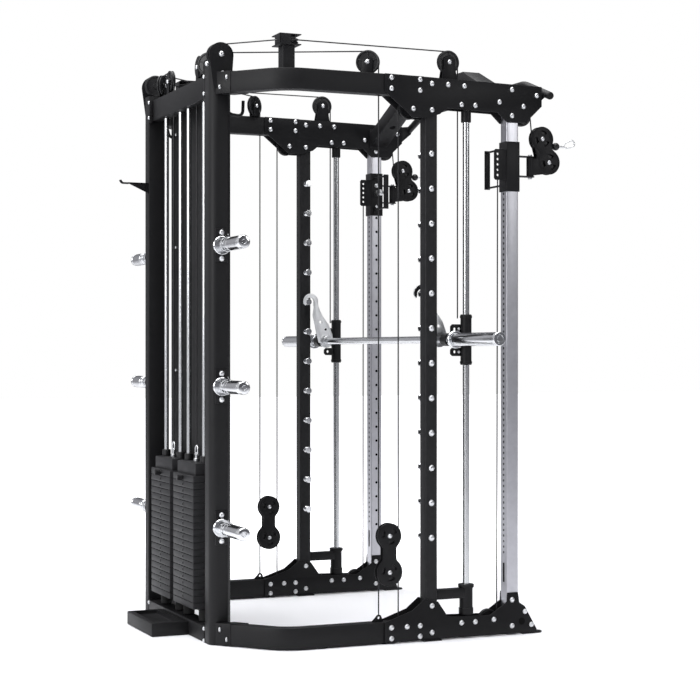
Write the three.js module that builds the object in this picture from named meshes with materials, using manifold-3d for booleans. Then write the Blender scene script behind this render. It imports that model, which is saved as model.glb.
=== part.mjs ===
// Smith machine with a twin-stack cable crossover, in millimetres, +Z up, front towards -Y.
// Everything is modelled on the right-hand side (+X) and mirrored for the left.
// Places along the machine are given as "reach": millimetres forward of the main uprights.
import * as THREE from 'three';
import { mergeVertices } from 'three/addons/utils/BufferGeometryUtils.js';
import Module from 'manifold-3d';

const wasm = await Module();
wasm.setup();

// ---- driving dimensions -------------------------------------------------------------
const GAP = 0.3;                 // clearance between pieces that touch
const FRAME_X = 628;             // middle plane of each side frame
const TUBE = 50;                 // main uprights and columns, square
const WALL = 3;
const PLATE = 5;                 // thickness of the side plates
const TOP = 2099;                // top of the rails and plates
const RAIL_HEIGHT = 78;
const RAIL_WIDTH = 50;
const RAIL_BASE = 3;
const RAIL_TURN_REACH = -500;    // where the rails turn inwards
const RAIL_TURN_RADIUS = 150;

const COLUMN_REACH = 343;
const ROD_REACH = 157;
const ROD_RADIUS = 12.5;
const SOCKET_RADIUS = 23.5;
const SOCKET_TOP = 200;

const PEG_COUNT = 12;
const PEG_PITCH = 130;
const FIRST_PEG = 383;
const PEG_LENGTH = 40;

const BAR_REACH = 79;
const BAR_HEIGHT = 1121;
const BAR_RADIUS = 14;
const BAR_HALF_LENGTH = 1037;
const SLEEVE_START = 700;
const SLEEVE_RADIUS = 24.5;
const SLEEVE_PLAY = 1.1;         // lets the sleeve spin on the bar
const HOOK_THICKNESS = 8;
const HOOK_CLEARANCE = 1.5;      // between the hook plate and the ends of the pegs
const BEARING_RADIUS = 21;
const BEARING_HEIGHT = 190;

const TROLLEY_LOW = 1685;
const TROLLEY_LENGTH = 189;
const PIN_HEIGHT = 1785;
const LADDER_LOW = 1726;         // the plate of holes behind the trolley
const LADDER_HIGH = 1843;
const LADDER_LENGTH = 51;
const HANDLE_LOW = 1712;
const HANDLE_HIGH = 1851;
const TROLLEY_WALL = 4;
const TROLLEY_PLAY = 1;
const SWIVEL_REACH = 433;        // the swivel's pin stands under the cable that drops to it
const SWIVEL_RADIUS = 14;
const SWIVEL_LOW = 1748;
const SWIVEL_HIGH = 1820;
const CLEVIS_PLATE = 4;

const PULLEY_RADIUS = 44;
const PULLEY_HALF_WIDTH = 8;
const CABLE_RADIUS = 2.5;
const CABLE_TURN = 40;           // radius of the cable's middle round a pulley
const LINE_PLATE = 4;            // pulley side plates

const BLOCK_REACH = -165;
const BLOCK_UPPER = 396;
const BLOCK_LOWER = 261;
const BLOCK_HALF_WIDTH = 48;

const TOWER_X = 396;
const TOWER_REACH = -749;
const TOWER_SECTION_X = 70;
const TOWER_SECTION_Y = 80;
const TOWER_TOP = 2120;
const HEAD_BEAM_BOTTOM = 2018;
const HEAD_BEAM_TOP = 2102;
const HEAD_BEAM_DEPTH = 50;
const STEP_HALF_WIDTH = 168;
const STEP_BACK = -934;
const STEP_HEIGHT = 52;

const STACK_X = 146;
const STACK_ROD_SPACING = 189;
const STACK_ROD_RADIUS = 9.5;
const STACK_WIDTH = 250;
const STACK_DEPTH = 110;
const WEIGHT_PLATE = 25;
const RESTING_PLATES = 19;
const STACK_BASE = 110;
const STACK_HEAD_HEIGHT = 46;
const STORAGE_HEIGHTS = [430, 948, 1465];
const STORAGE_LENGTH = 250;
const ACCESSORY_HOOK_HEIGHT = 1765;

const TOP_LINE = 2016;           // height of the cable through the top plates
const TOP_PULLEY_HEIGHT = TOP_LINE - CABLE_TURN;
const FRONT_DROP_REACH = SWIVEL_REACH;
const HEAD_PULLEY_HEIGHT = 1893;
const BOTTOM_PULLEY_HEIGHT = 62;
const COLUMN_LINE_REACH = 288;   // the cable that rises behind the column
const G_REACH = 85;
const G_HEIGHT = 2163;
const F_HEIGHT = 2144;
const POST_REACH = -550;
const POST_WRAP = 42;            // how far the cable goes round the post's pulley, in degrees
const POST_LINE = G_HEIGHT + CABLE_TURN;
const LINE_X = FRAME_X - 8;      // the carriage's cable runs beside the cable in the frame's middle
const CROSS_REACH = 350;
const CROSS_WIDTH = 80;
const PULL_UP_REACH = 506;
const PULL_UP_RADIUS = 15;
const PULL_UP_HEIGHT = 2130;

const innerFace = FRAME_X - TUBE / 2;
const outerFace = FRAME_X + TUBE / 2;
const innerPlate = innerFace - GAP - PLATE;
const outerPlate = outerFace + GAP;
const stackTop = STACK_BASE + RESTING_PLATES * WEIGHT_PLATE;

// ---- solids -------------------------------------------------------------------------
function solid(geometry) {
  const bare = geometry.clone();
  for (const name of Object.keys(bare.attributes)) if (name !== 'position') bare.deleteAttribute(name);
  const merged = mergeVertices(bare, 1e-4);
  return new wasm.Manifold(new wasm.Mesh({
    numProp: 3,
    vertProperties: new Float32Array(merged.attributes.position.array),
    triVerts: new Uint32Array(merged.index.array),
  }));
}

const join = (...parts) => parts.flat().reduce((all, part) => all.add(part));
const cut = (body, ...tools) => tools.flat().reduce((left, tool) => left.subtract(tool), body);

// A block between two x, two reaches and two heights.
function block(x0, x1, reach0, reach1, z0, z1) {
  const shape = new THREE.BoxGeometry(x1 - x0, Math.abs(reach1 - reach0), z1 - z0);
  return solid(shape.translate((x0 + x1) / 2, -(reach0 + reach1) / 2, (z0 + z1) / 2));
}

// A round bar along x, y or z from a to b. across holds the other two coordinates: (reach, z), (x, z) or (x, reach).
function round(axis, radius, a, b, across, sides = 10, endRadius = radius) {
  const shape = new THREE.CylinderGeometry(endRadius, radius, Math.abs(b - a), sides);
  const middle = (a + b) / 2;
  if (axis === 'x') {
    return solid(shape.rotateZ(b > a ? -Math.PI / 2 : Math.PI / 2).translate(middle, -across[0], across[1]));
  }
  if (axis === 'y') return solid(shape.rotateX(b > a ? Math.PI : 0).translate(across[0], -middle, across[1]));
  return solid(shape.rotateX(Math.PI / 2).translate(across[0], -across[1], middle));
}

const shapeOf = (points) => new THREE.Shape(points.map(([a, b]) => new THREE.Vector2(a, b)));

// A flat plate square to x: its outline is a list of (reach, height).
function sidePlate(outline, x0, x1) {
  const shape = shapeOf(outline.map(([reach, z]) => [-reach, z]));
  const plate = new THREE.ExtrudeGeometry(shape, { depth: x1 - x0, bevelEnabled: false });
  const turn = new THREE.Matrix4().makeBasis(
    new THREE.Vector3(0, 1, 0), new THREE.Vector3(0, 0, 1), new THREE.Vector3(1, 0, 0));
  return solid(plate.applyMatrix4(turn).translate(x0, 0, 0));
}

// A piece with an outline in plan, (x, reach), standing between two heights.
function planPiece(outline, z0, z1) {
  const shape = shapeOf(outline.map(([x, reach]) => [x, -reach]));
  return solid(new THREE.ExtrudeGeometry(shape, { depth: z1 - z0, bevelEnabled: false }).translate(0, 0, z0));
}

// Points of an arc in a plane spanned by (a, b), from one angle to another, in degrees.
function arc(centre, radius, from, to, count) {
  return Array.from({ length: count + 1 }, (_, i) => {
    const angle = THREE.MathUtils.degToRad(from + (to - from) * i / count);
    return [centre[0] + radius * Math.cos(angle), centre[1] + radius * Math.sin(angle)];
  });
}

const roundedSquare = (centre, side, radius) => {
  const far = side / 2 - radius;
  return [[far, far, 0], [-far, far, 90], [-far, -far, 180], [far, -far, 270]].flatMap(([a, b, turn]) =>
    arc([centre[0] + a, centre[1] + b], radius, turn, turn + 90, 1));
};

function squareTube(reach, z0, z1) {
  const outside = planPiece(roundedSquare([FRAME_X, reach], TUBE, 5), z0, z1);
  return cut(outside, block(FRAME_X - TUBE / 2 + WALL, FRAME_X + TUBE / 2 - WALL,
    reach - TUBE / 2 + WALL, reach + TUBE / 2 - WALL, z0 - 1, z1 + 1));
}

// A path through given points, used as it is, with no smoothing.
class Route extends THREE.Curve {
  constructor(points) {
    super();
    this.points = points.map(([x, reach, z]) => new THREE.Vector3(x, -reach, z));
  }
  getPoint(t) {
    const last = this.points.length - 1;
    const i = Math.min(Math.floor(t * last), last - 1);
    return this.points[i].clone().lerp(this.points[i + 1], t * last - i);
  }
  getSpacedPoints() {
    return this.points;
  }
  getTangentAt(t) {
    const last = this.points.length - 1;
    const i = Math.round(t * last);
    const before = this.points[Math.max(i - 1, 0)];
    const after = this.points[Math.min(i + 1, last)];
    return after.clone().sub(before).normalize();
  }
}

function tube(points, radius, sides = 8) {
  const section = shapeOf(arc([0, 0], radius, 0, 360 - 360 / sides, sides - 1));
  const route = new Route(points);
  return solid(new THREE.ExtrudeGeometry(section, { steps: points.length - 1, extrudePath: route }));
}

// A grooved pulley, its axle along x.
function pulley(x, reach, z) {
  const groove = CABLE_TURN - CABLE_RADIUS - 1;
  const lip = CABLE_RADIUS + 0.7;
  const profile = [[0, -PULLEY_HALF_WIDTH], [PULLEY_RADIUS, -PULLEY_HALF_WIDTH], [PULLEY_RADIUS, -lip], [groove, -lip],
    [groove, lip], [PULLEY_RADIUS, lip], [PULLEY_RADIUS, PULLEY_HALF_WIDTH], [0, PULLEY_HALF_WIDTH]];
  const wheel = new THREE.LatheGeometry(profile.map(([r, y]) => new THREE.Vector2(r, y)), 10);
  return solid(wheel.rotateZ(-Math.PI / 2).translate(x, -reach, z));
}

const turned = (body, x, reach, degrees) =>
  body.translate([-x, reach, 0]).rotate([0, 0, degrees]).translate([x, -reach, 0]);
const bored = (wheel, x, reach, z, radius) => cut(wheel, round('x', radius, x - 30, x + 30, [reach, z], 10));
const boltHead = (x, reach, z, side = 1) => round('x', 8.5, x, x + side * 6, [reach, z], 6, 5);

// ---- side frames --------------------------------------------------------------------
const TOP_OUTLINE = [[-193, TOP], [468, TOP - 10], [468, 2014], [397, 1947], [316, 1946], [278, 1981], [62, 1985],
  [33, 1961], [-24, 1943], [-80, 1943], [-193, 2034]];
const BOTTOM_OUTLINE = [[-193, 5], [-193, 80], [-80, 118], [-30, 158], [25, 145], [66, 87], [244, 81], [316, 127],
  [318, 161], [364, 161], [370, 122], [394, 106], [445, 17], [445, 5]];
const TOP_SPACERS = [[60, 2045], [215, 2045], [284, 2045], [440, 2055]];
const BOTTOM_SPACERS = [[70, 60], [205, 60], [400, 40]];

function platePair(outline, spacers) {
  const plates = [innerPlate, outerPlate].map((x) => sidePlate(outline, x, x + PLATE));
  const ties = spacers.map((place) => round('x', 9, innerPlate + 1, outerPlate + 1, place, 6));
  return join(plates, ties);
}

// A pulley shut in between two plates, as a plain disc on its axle.
const disc = (x, reach, z) => round('x', CABLE_TURN - CABLE_RADIUS - 1, x - PULLEY_HALF_WIDTH, x + PULLEY_HALF_WIDTH,
  [reach, z], 10);
const hubbed = (reach, z) => join(disc(FRAME_X, reach, z),
  round('x', 7, innerPlate + 1, outerPlate + 1, [reach, z], 6));
const backPulleyReach = BLOCK_REACH + CABLE_TURN + CABLE_TURN;
const frontPulleyReach = FRONT_DROP_REACH - CABLE_TURN;
const columnPulleyReach = COLUMN_LINE_REACH - CABLE_TURN;

function topPlates() {
  const body = platePair(TOP_OUTLINE, TOP_SPACERS);
  const bracket = [LINE_PLATE, -LINE_PLATE].map((side) => {
    const x = LINE_X + Math.sign(side) * (PULLEY_HALF_WIDTH + 2);
    const outline = [[G_REACH - 38, TOP - 40], [G_REACH + 38, TOP - 40], ...arc([G_REACH, G_HEIGHT], 46, -20, 200, 8)];
    return sidePlate(outline, Math.min(x, x + side), Math.max(x, x + side));
  });
  const saddle = block(innerPlate + 1, outerPlate + 1, G_REACH - 30, G_REACH - 5, TOP - 40, TOP - 20);
  const shutIn = [backPulleyReach, frontPulleyReach].map((reach) => hubbed(reach, TOP_PULLEY_HEIGHT));
  return join(body, shutIn, bracket, saddle);
}

function bottomPlates() {
  const body = platePair(BOTTOM_OUTLINE, BOTTOM_SPACERS);
  const foot = planPiece([[innerPlate, 385], [outerPlate + PLATE, 385], [outerPlate + PLATE, 450],
    ...arc([FRAME_X, 450], 30, 0, 180, 8).map(([x, r]) => [x, r])], 0, 5);
  const shutIn = [backPulleyReach, columnPulleyReach].map((reach) => hubbed(reach, BOTTOM_PULLEY_HEIGHT));
  return join(body, foot, shutIn);
}

// A slot through a tube's front and back walls, for the cable that runs along the frame.
const cableSlot = (reach, z) => block(FRAME_X - 8, FRAME_X + 8, reach - 40, reach + 40, z - 9, z + 9);
const bottomLine = BOTTOM_PULLEY_HEIGHT - CABLE_TURN;

function mainUpright() {
  const pegs = Array.from({ length: PEG_COUNT }, (_, i) => FIRST_PEG + i * PEG_PITCH).flatMap((z) => [
    boltHead(outerFace - 0.5, 0, z),
    round('x', 7, innerFace + 1, innerFace - PEG_LENGTH, [0, z], 6, 10),
  ]);
  return cut(join(squareTube(0, 5, TOP - 5), pegs), cableSlot(0, TOP_LINE), cableSlot(0, bottomLine));
}

function column() {
  const wheelRoom = block(FRAME_X - PULLEY_HALF_WIDTH - 2, FRAME_X + PULLEY_HALF_WIDTH + 2,
    frontPulleyReach - CABLE_TURN - 2, COLUMN_REACH + TUBE, TOP_PULLEY_HEIGHT - CABLE_TURN, TOP_LINE);
  return cut(squareTube(COLUMN_REACH, 5, TOP - 12), cableSlot(COLUMN_REACH, TOP_LINE), wheelRoom);
}

const guideRod = () => round('z', ROD_RADIUS, SOCKET_TOP - 60, 1990, [FRAME_X, ROD_REACH], 10);

function rodSocket() {
  const body = round('z', SOCKET_RADIUS, 87, SOCKET_TOP, [FRAME_X, ROD_REACH], 10);
  const flange = round('z', 28, SOCKET_TOP - 8, SOCKET_TOP, [FRAME_X, ROD_REACH], 10);
  const arm = block(FRAME_X - 20, FRAME_X + 20, TUBE / 2 + GAP, ROD_REACH - 10, 150, 186);
  const bore = round('z', ROD_RADIUS + GAP, SOCKET_TOP - 60 - GAP, SOCKET_TOP + 5, [FRAME_X, ROD_REACH], 10);
  return cut(join(body, flange, arm), bore);
}

// ---- rails --------------------------------------------------------------------------
const RAIL_TURN = 50;            // degrees
function railPlan(startReach) {
  const half = RAIL_WIDTH / 2;
  const centre = [FRAME_X - RAIL_TURN_RADIUS, RAIL_TURN_REACH];
  const side = (radius) => arc(centre, radius, 0, -RAIL_TURN, 8);
  const outer = side(RAIL_TURN_RADIUS + half);
  const inner = side(RAIL_TURN_RADIUS - half);
  const run = 260;
  const heading = THREE.MathUtils.degToRad(-90 - RAIL_TURN);
  const onward = ([x, reach]) => [x + run * Math.cos(heading), reach + run * Math.sin(heading)];
  return [[FRAME_X + half, startReach], ...outer, onward(outer.at(-1)), onward(inner.at(-1)), ...inner.reverse(),
    [FRAME_X - half, startReach]];
}

const upToTower = TOWER_X + TOWER_SECTION_X / 2 + GAP;
function rail(startReach, z0, packing = 0) {
  const body = planPiece(railPlan(startReach), z0, z0 + RAIL_HEIGHT);
  return cut(body, block(0, upToTower + packing, -1200, -400, z0 - 1, z0 + RAIL_HEIGHT + 1));
}

function topRail() {
  const z = TOP - RAIL_HEIGHT;
  const fLine = BLOCK_REACH - CABLE_TURN;
  const passage = block(FRAME_X - 8, FRAME_X + 8, fLine - 12, fLine + 12, z - 1, TOP + 1);
  const body = cut(rail(-TUBE / 2 - GAP, z, PLATE), passage);
  const postX = LINE_X - CABLE_TURN;
  const post = block(postX - 24, postX + 24, POST_REACH - 24, POST_REACH + 24, TOP - 10, POST_LINE - 18);
  const cover = (z0, z1) => block(postX - 42, postX + 42, POST_REACH - 42, POST_REACH + 42, z0, z1);
  const floorPlate = cover(POST_LINE - 18, POST_LINE - 14);
  const lid = cover(POST_LINE + 18, POST_LINE + 22);
  const spindle = round('z', 30, POST_LINE - 15, POST_LINE + 19, [postX, POST_REACH], 10);
  return join(body, post, floorPlate, lid, spindle, railPulleyBracket());
}

// Pulley F leans towards the tower, where its cable comes from.
const F_TURN = 33;               // degrees
const fAim = [Math.sin(THREE.MathUtils.degToRad(F_TURN)), Math.cos(THREE.MathUtils.degToRad(F_TURN))];
const fCentre = [FRAME_X - CABLE_TURN * fAim[0], BLOCK_REACH - CABLE_TURN - CABLE_TURN * fAim[1]];
function railPulleyBracket() {
  const [x, reach] = fCentre;
  const sides = [-1, 1].map((side) => {
    const near = x + side * (PULLEY_HALF_WIDTH + 1.5);
    const far = near + side * LINE_PLATE;
    const outline = [[reach - 16, TOP - 5], [reach + 16, TOP - 5], ...arc([reach, F_HEIGHT], 20, 0, 180, 6)];
    return sidePlate(outline, Math.min(near, far), Math.max(near, far));
  });
  const axle = round('x', 6, x - 12, x + 12, [reach, F_HEIGHT], 10);
  return turned(join(sides, axle), x, reach, F_TURN);
}

function baseRail() {
  const seat = RAIL_BASE + RAIL_HEIGHT - 1;
  const eyelet = sidePlate([[-235, seat], [-186, seat], [-203, 108], [-212, 108]], FRAME_X - 4, FRAME_X + 4);
  const pads = [-180, -430].map((reach) => round('z', 20, 0, RAIL_BASE + 2, [FRAME_X, reach], 10));
  return join(rail(backPulleyReach - PULLEY_RADIUS - 8, RAIL_BASE), eyelet, pads);
}

// ---- rear tower ---------------------------------------------------------------------
function rearUpright() {
  const x0 = TOWER_X - TOWER_SECTION_X / 2;
  const x1 = TOWER_X + TOWER_SECTION_X / 2;
  const back = TOWER_REACH - TOWER_SECTION_Y / 2;
  const front = TOWER_REACH + TOWER_SECTION_Y / 2;
  const corner = arc([x1 - 30, back + 30], 30, -90, 0, 5);
  const section = [[x0, front], [x0, back], ...corner, [x1, front - 14], [x1 - 14, front]];
  const shell = planPiece(section, 0, TOWER_TOP);
  const hollow = block(x0 + WALL, x1 - 12, back + 12, front - WALL, 20, TOWER_TOP + 1);
  const storage = STORAGE_HEIGHTS.flatMap((z) => [
    block(x1 - 1, x1 + 6, TOWER_REACH - 24, TOWER_REACH + 24, z - 62, z + 62),
    round('x', 34, x1 + 5, x1 + 16, [TOWER_REACH, z], 10),
    round('x', 24, x1 + 15, x1 + STORAGE_LENGTH, [TOWER_REACH, z], 10),
  ]);
  const plate = sidePlate([[TOWER_REACH - 30, TOWER_TOP - 70], [TOWER_REACH + 38, TOWER_TOP - 70],
    ...arc([TOWER_REACH, G_HEIGHT], 47, 0, 180, 8)], x1 - 1, x1 + 5);
  const wheel = join(disc(TOWER_X, TOWER_REACH, G_HEIGHT + 4),
    round('x', 7, TOWER_X, x1 + 2, [TOWER_REACH, G_HEIGHT + 4], 10));
  const hangerX = x0 + 8;
  const hanger = tube([[hangerX, front + 4, 1985], [hangerX, front + 22, 1960], [hangerX, front + 48, 1955],
    [hangerX, front + 68, 1970], [hangerX, front + 68, 2010]], 6, 6);
  const hangerFoot = block(x0, x0 + 12, front - 1, front + 6, 1970, 2010);
  return join(cut(shell, hollow), storage, plate, wheel, hanger, hangerFoot);
}

// A gusset with two upturned prongs, for belts and straps, behind the right-hand rear upright only.
function accessoryHook() {
  const x = TOWER_X - TOWER_SECTION_X / 2;
  const back = TOWER_REACH - TOWER_SECTION_Y / 2;
  const top = ACCESSORY_HOOK_HEIGHT;
  const cheek = sidePlate([[back + 1, top], [back + 1, top - 43], [back - 86, top - 4], [back - 86, top]], x, x + 4);
  const strap = block(x, x + 26, back - 86, back + 1, top - 4, top);
  const prongs = [x + 5, x + 21].map((place) => tube([[place, back - 80, top - 3], [place, back - 104, top - 3],
    [place, back - 112, top + 1], [place, back - 116, top + 9]], 3, 6));
  return join(cheek, strap, prongs);
}

const towerInside = TOWER_X - TOWER_SECTION_X / 2 - GAP;
const beamFront = TOWER_REACH + HEAD_BEAM_DEPTH / 2;
const beamBack = TOWER_REACH - HEAD_BEAM_DEPTH / 2;
const liftPulleyX = STACK_X + CABLE_TURN;
const liftPulleyHeight = 2155;
const turnPulleyX = 285;
const TURN_PULLEY_DROP = 3;      // its groove lies a little under the cable, which crosses it at a slant

function towerHeadBeam() {
  const beam = block(-towerInside, towerInside, beamBack, beamFront, HEAD_BEAM_BOTTOM, HEAD_BEAM_TOP);
  const inside = block(-towerInside - 1, towerInside + 1, beamBack + WALL, beamFront - WALL, HEAD_BEAM_BOTTOM + WALL,
    HEAD_BEAM_TOP - WALL);
  const pulleys = [-1, 1].flatMap((side) => {
    const lift = turned(disc(side * liftPulleyX, TOWER_REACH, liftPulleyHeight), side * liftPulleyX, TOWER_REACH, 90);
    const level = disc(side * turnPulleyX, TOWER_REACH, liftPulleyHeight - TURN_PULLEY_DROP);
    const turn = turned(level, side * turnPulleyX, TOWER_REACH, side * 45);
    const feet = [liftPulleyX, turnPulleyX].map((x) =>
      block(side * x - 14, side * x + 14, TOWER_REACH - 14, TOWER_REACH + 14, HEAD_BEAM_TOP - 2,
        liftPulleyHeight - 30));
    return [lift, turn, ...feet];
  });
  const passages = [-STACK_X, STACK_X].map((x) =>
    block(x - 8, x + 8, TOWER_REACH - 8, TOWER_REACH + 8, HEAD_BEAM_BOTTOM - 1, HEAD_BEAM_TOP + 1));
  return cut(join(cut(beam, inside), pulleys), passages);
}

function towerBase() {
  const beam = block(-towerInside, towerInside, beamBack - 15, beamFront, 0, 60);
  const step = block(-STEP_HALF_WIDTH, STEP_HALF_WIDTH, STEP_BACK, beamBack, 0, STEP_HEIGHT);
  const recess = block(-STEP_HALF_WIDTH + 18, STEP_HALF_WIDTH - 18, STEP_BACK + 22, beamBack - 45, STEP_HEIGHT - 14,
    STEP_HEIGHT + 20);
  return cut(join(beam, step), recess);
}

const SHROUD_OFFSET = 32;        // from the head beam to the panel in front of the stacks
const shroud = () => block(-towerInside, towerInside, beamFront + GAP + SHROUD_OFFSET,
  beamFront + GAP + SHROUD_OFFSET + WALL, 62, HEAD_BEAM_TOP);

const stackRodPlaces = [STACK_X - STACK_ROD_SPACING / 2, STACK_X + STACK_ROD_SPACING / 2];
function stackRods() {
  const rods = stackRodPlaces.map((x) =>
    round('z', STACK_ROD_RADIUS, 60 + GAP, HEAD_BEAM_BOTTOM - GAP, [x, TOWER_REACH], 10));
  const buffer = stackRodPlaces.map((x) => round('z', 22, 62, STACK_BASE - GAP, [x, TOWER_REACH], 10));
  const tie = block(stackRodPlaces[0], stackRodPlaces[1], TOWER_REACH - 15, TOWER_REACH + 15, 61, 75);
  return join(rods, buffer, tie);
}

const stackBores = (z0, z1) => stackRodPlaces.map((x) =>
  round('z', STACK_ROD_RADIUS + 1, z0, z1, [x, TOWER_REACH], 10));

function restingPlates() {
  const groove = 1.5;
  const half = STACK_DEPTH / 2;
  const edge = (side) => Array.from({ length: RESTING_PLATES }, (_, i) => {
    const z = STACK_BASE + i * WEIGHT_PLATE;
    return [[TOWER_REACH + side * half, z + groove], [TOWER_REACH + side * half, z + WEIGHT_PLATE - groove],
      [TOWER_REACH + side * (half - groove), z + WEIGHT_PLATE]];
  }).flat();
  const foot = (side) => [TOWER_REACH + side * (half - groove), STACK_BASE];
  const outline = [foot(1), ...edge(1), ...edge(-1).reverse(), foot(-1)];
  const body = sidePlate(outline, STACK_X - STACK_WIDTH / 2, STACK_X + STACK_WIDTH / 2);
  const stemBore = round('z', 13, STACK_BASE + 100, stackTop + 1, [STACK_X, TOWER_REACH], 10);
  return cut(body, stackBores(STACK_BASE - 1, stackTop + 1), stemBore);
}

const pinHeight = stackTop + GAP + WEIGHT_PLATE / 2;
function liftedPlate() {
  const z0 = stackTop + GAP;
  const plate = block(STACK_X - STACK_WIDTH / 2, STACK_X + STACK_WIDTH / 2, TOWER_REACH - STACK_DEPTH / 2,
    TOWER_REACH + STACK_DEPTH / 2, z0, z0 + WEIGHT_PLATE);
  const head = block(STACK_X - 112, STACK_X + 112, TOWER_REACH - 42, TOWER_REACH + 42, z0 + WEIGHT_PLATE - 1,
    z0 + WEIGHT_PLATE + STACK_HEAD_HEIGHT);
  const stemTop = z0 + WEIGHT_PLATE + STACK_HEAD_HEIGHT + 60;
  const stem = round('z', 11, z0 + WEIGHT_PLATE, stemTop, [STACK_X, TOWER_REACH], 10);
  const selector = round('z', 9, STACK_BASE + 110, z0 + 5, [STACK_X, TOWER_REACH], 10);
  const pinBore = round('y', 5.5, TOWER_REACH - 60, TOWER_REACH - 20, [STACK_X, pinHeight], 10);
  const bores = stackBores(z0 - 2, z0 + 90);
  return cut(join(plate, head, stem, selector), pinBore, bores);
}

function selectorPin() {
  const knobStart = TOWER_REACH - STACK_DEPTH / 2 - 2;
  const shaft = round('y', 4.8, TOWER_REACH - 21, knobStart - 1, [STACK_X, pinHeight], 10);
  const knob = round('y', 11, knobStart, knobStart - 24, [STACK_X, pinHeight], 10);
  return join(shaft, knob);
}

// ---- top bars -----------------------------------------------------------------------
function crossMember() {
  const reachX = innerPlate - GAP;
  const half = [[300, 2192], [reachX, 2058], [reachX, 1990], [285, 2136]];
  const outline = [...half, ...half.map(([x, z]) => [-x, z]).reverse()];
  const shape = shapeOf(outline).getPoints().reverse();
  const body = new THREE.ExtrudeGeometry(new THREE.Shape(shape), { depth: CROSS_WIDTH, bevelEnabled: false });
  const turn = new THREE.Matrix4().makeBasis(
    new THREE.Vector3(1, 0, 0), new THREE.Vector3(0, 0, 1), new THREE.Vector3(0, -1, 0));
  const beam = solid(body.applyMatrix4(turn).translate(0, -CROSS_REACH + CROSS_WIDTH / 2, 0));
  const hole = [-1, 1].map((side) => round('z', 13, 2000, 2250, [side * 445, CROSS_REACH], 10));
  return cut(beam, hole);
}

function pullUpBar() {
  const bend = 455;
  const end = 655;
  const drop = 72;
  const side = [[bend + 30, PULL_UP_REACH, PULL_UP_HEIGHT - 7], [end, PULL_UP_REACH, PULL_UP_HEIGHT - drop]];
  const half = [[bend - 30, PULL_UP_REACH, PULL_UP_HEIGHT], [bend, PULL_UP_REACH, PULL_UP_HEIGHT - 1], ...side];
  const points = [...half.map(([x, r, z]) => [-x, r, z]).reverse(), ...half];
  const tabs = [-1, 1].map((s) => {
    const a = s * innerPlate;
    const b = s * (innerPlate + PLATE);
    const outline = [[468 + GAP, 2020], [468 + GAP, 2088], [PULL_UP_REACH, 2092], [PULL_UP_REACH + 8, 2060]];
    return sidePlate(outline, Math.min(a, b), Math.max(a, b));
  });
  return join(tube(points, PULL_UP_RADIUS, 10), tabs);
}

// ---- smith carriage and bar ---------------------------------------------------------
function carriage() {
  const z0 = BAR_HEIGHT - BEARING_HEIGHT / 2;
  const z1 = BAR_HEIGHT + BEARING_HEIGHT / 2;
  const bearing = round('z', BEARING_RADIUS, z0, z1, [FRAME_X, ROD_REACH], 10);
  const housing = round('x', 24, FRAME_X - 22, FRAME_X + 22, [BAR_REACH, BAR_HEIGHT], 10);
  const arm = block(FRAME_X - 12, FRAME_X + 12, BAR_REACH, ROD_REACH - 5, BAR_HEIGHT - 22, BAR_HEIGHT + 22);
  const ear = block(LINE_X - 4, LINE_X + 4, BAR_REACH + 20, ROD_REACH - 5, BAR_HEIGHT - 78, BAR_HEIGHT + 78);
  const holes = [-62, -40, 40].map((dz) =>
    round('x', 6, FRAME_X - 20, FRAME_X + 20, [BAR_REACH + 36, BAR_HEIGHT + dz], 10));
  const rodBore = round('z', ROD_RADIUS + 0.8, z0 - 1, z1 + 1, [FRAME_X, ROD_REACH], 10);
  const barBore = round('x', BAR_RADIUS + 0.8, FRAME_X - 40, FRAME_X + 40, [BAR_REACH, BAR_HEIGHT], 10);
  return cut(join(bearing, housing, arm, ear), rodBore, barBore, holes);
}

const barEnd = BAR_HALF_LENGTH - 6;
function barShaft() {
  const shaft = round('x', BAR_RADIUS, -barEnd, barEnd, [BAR_REACH, BAR_HEIGHT], 10);
  const collars = [-1, 1].flatMap((s) => [
    round('x', 20, s * (FRAME_X + 26), s * (FRAME_X + 40), [BAR_REACH, BAR_HEIGHT], 10),
    round('x', 33, s * (SLEEVE_START - 16), s * (SLEEVE_START - 2), [BAR_REACH, BAR_HEIGHT], 10),
  ]);
  return join(shaft, collars);
}

function sleeve() {
  const tubePart = round('x', SLEEVE_RADIUS, SLEEVE_START, BAR_HALF_LENGTH, [BAR_REACH, BAR_HEIGHT], 10);
  const bore = BAR_RADIUS + SLEEVE_PLAY;
  return cut(tubePart, round('x', bore, SLEEVE_START - 1, barEnd + 0.6, [BAR_REACH, BAR_HEIGHT], 10));
}

const hookX1 = innerFace - PEG_LENGTH - HOOK_CLEARANCE;
function hook() {
  const topPeg = FIRST_PEG + 7 * PEG_PITCH;
  const front = [[56, 14], [104, 10], [96, 42], [66, 76], [44, 122]];
  const rear = [[28, 76], [40, 40]];
  const overBar = (points) => points.map(([reach, up]) => [reach, BAR_HEIGHT + up]);
  const outline = [...overBar(front), ...arc([6, topPeg + 2], 34, -10, 195, 10), [-18, topPeg - 16],
    ...arc([3, topPeg + 1], 18, 190, 5, 8), [24, topPeg - 40], ...overBar(rear)];
  const plate = sidePlate(outline, hookX1 - HOOK_THICKNESS, hookX1);
  const ring = round('x', 29, hookX1 - HOOK_THICKNESS, hookX1, [BAR_REACH, BAR_HEIGHT], 10);
  const boss = round('x', 22, hookX1 - HOOK_THICKNESS - 16, hookX1 - HOOK_THICKNESS + 1, [BAR_REACH, BAR_HEIGHT], 10);
  const bore = round('x', BAR_RADIUS + GAP, hookX1 - 60, hookX1 + 20, [BAR_REACH, BAR_HEIGHT], 10);
  const holes = overBar([[60, 52], [42, 92]]).map((place) => round('x', 6, hookX1 - 20, hookX1 + 5, place, 10));
  return cut(join(plate, ring, boss), bore, holes);
}

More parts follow.
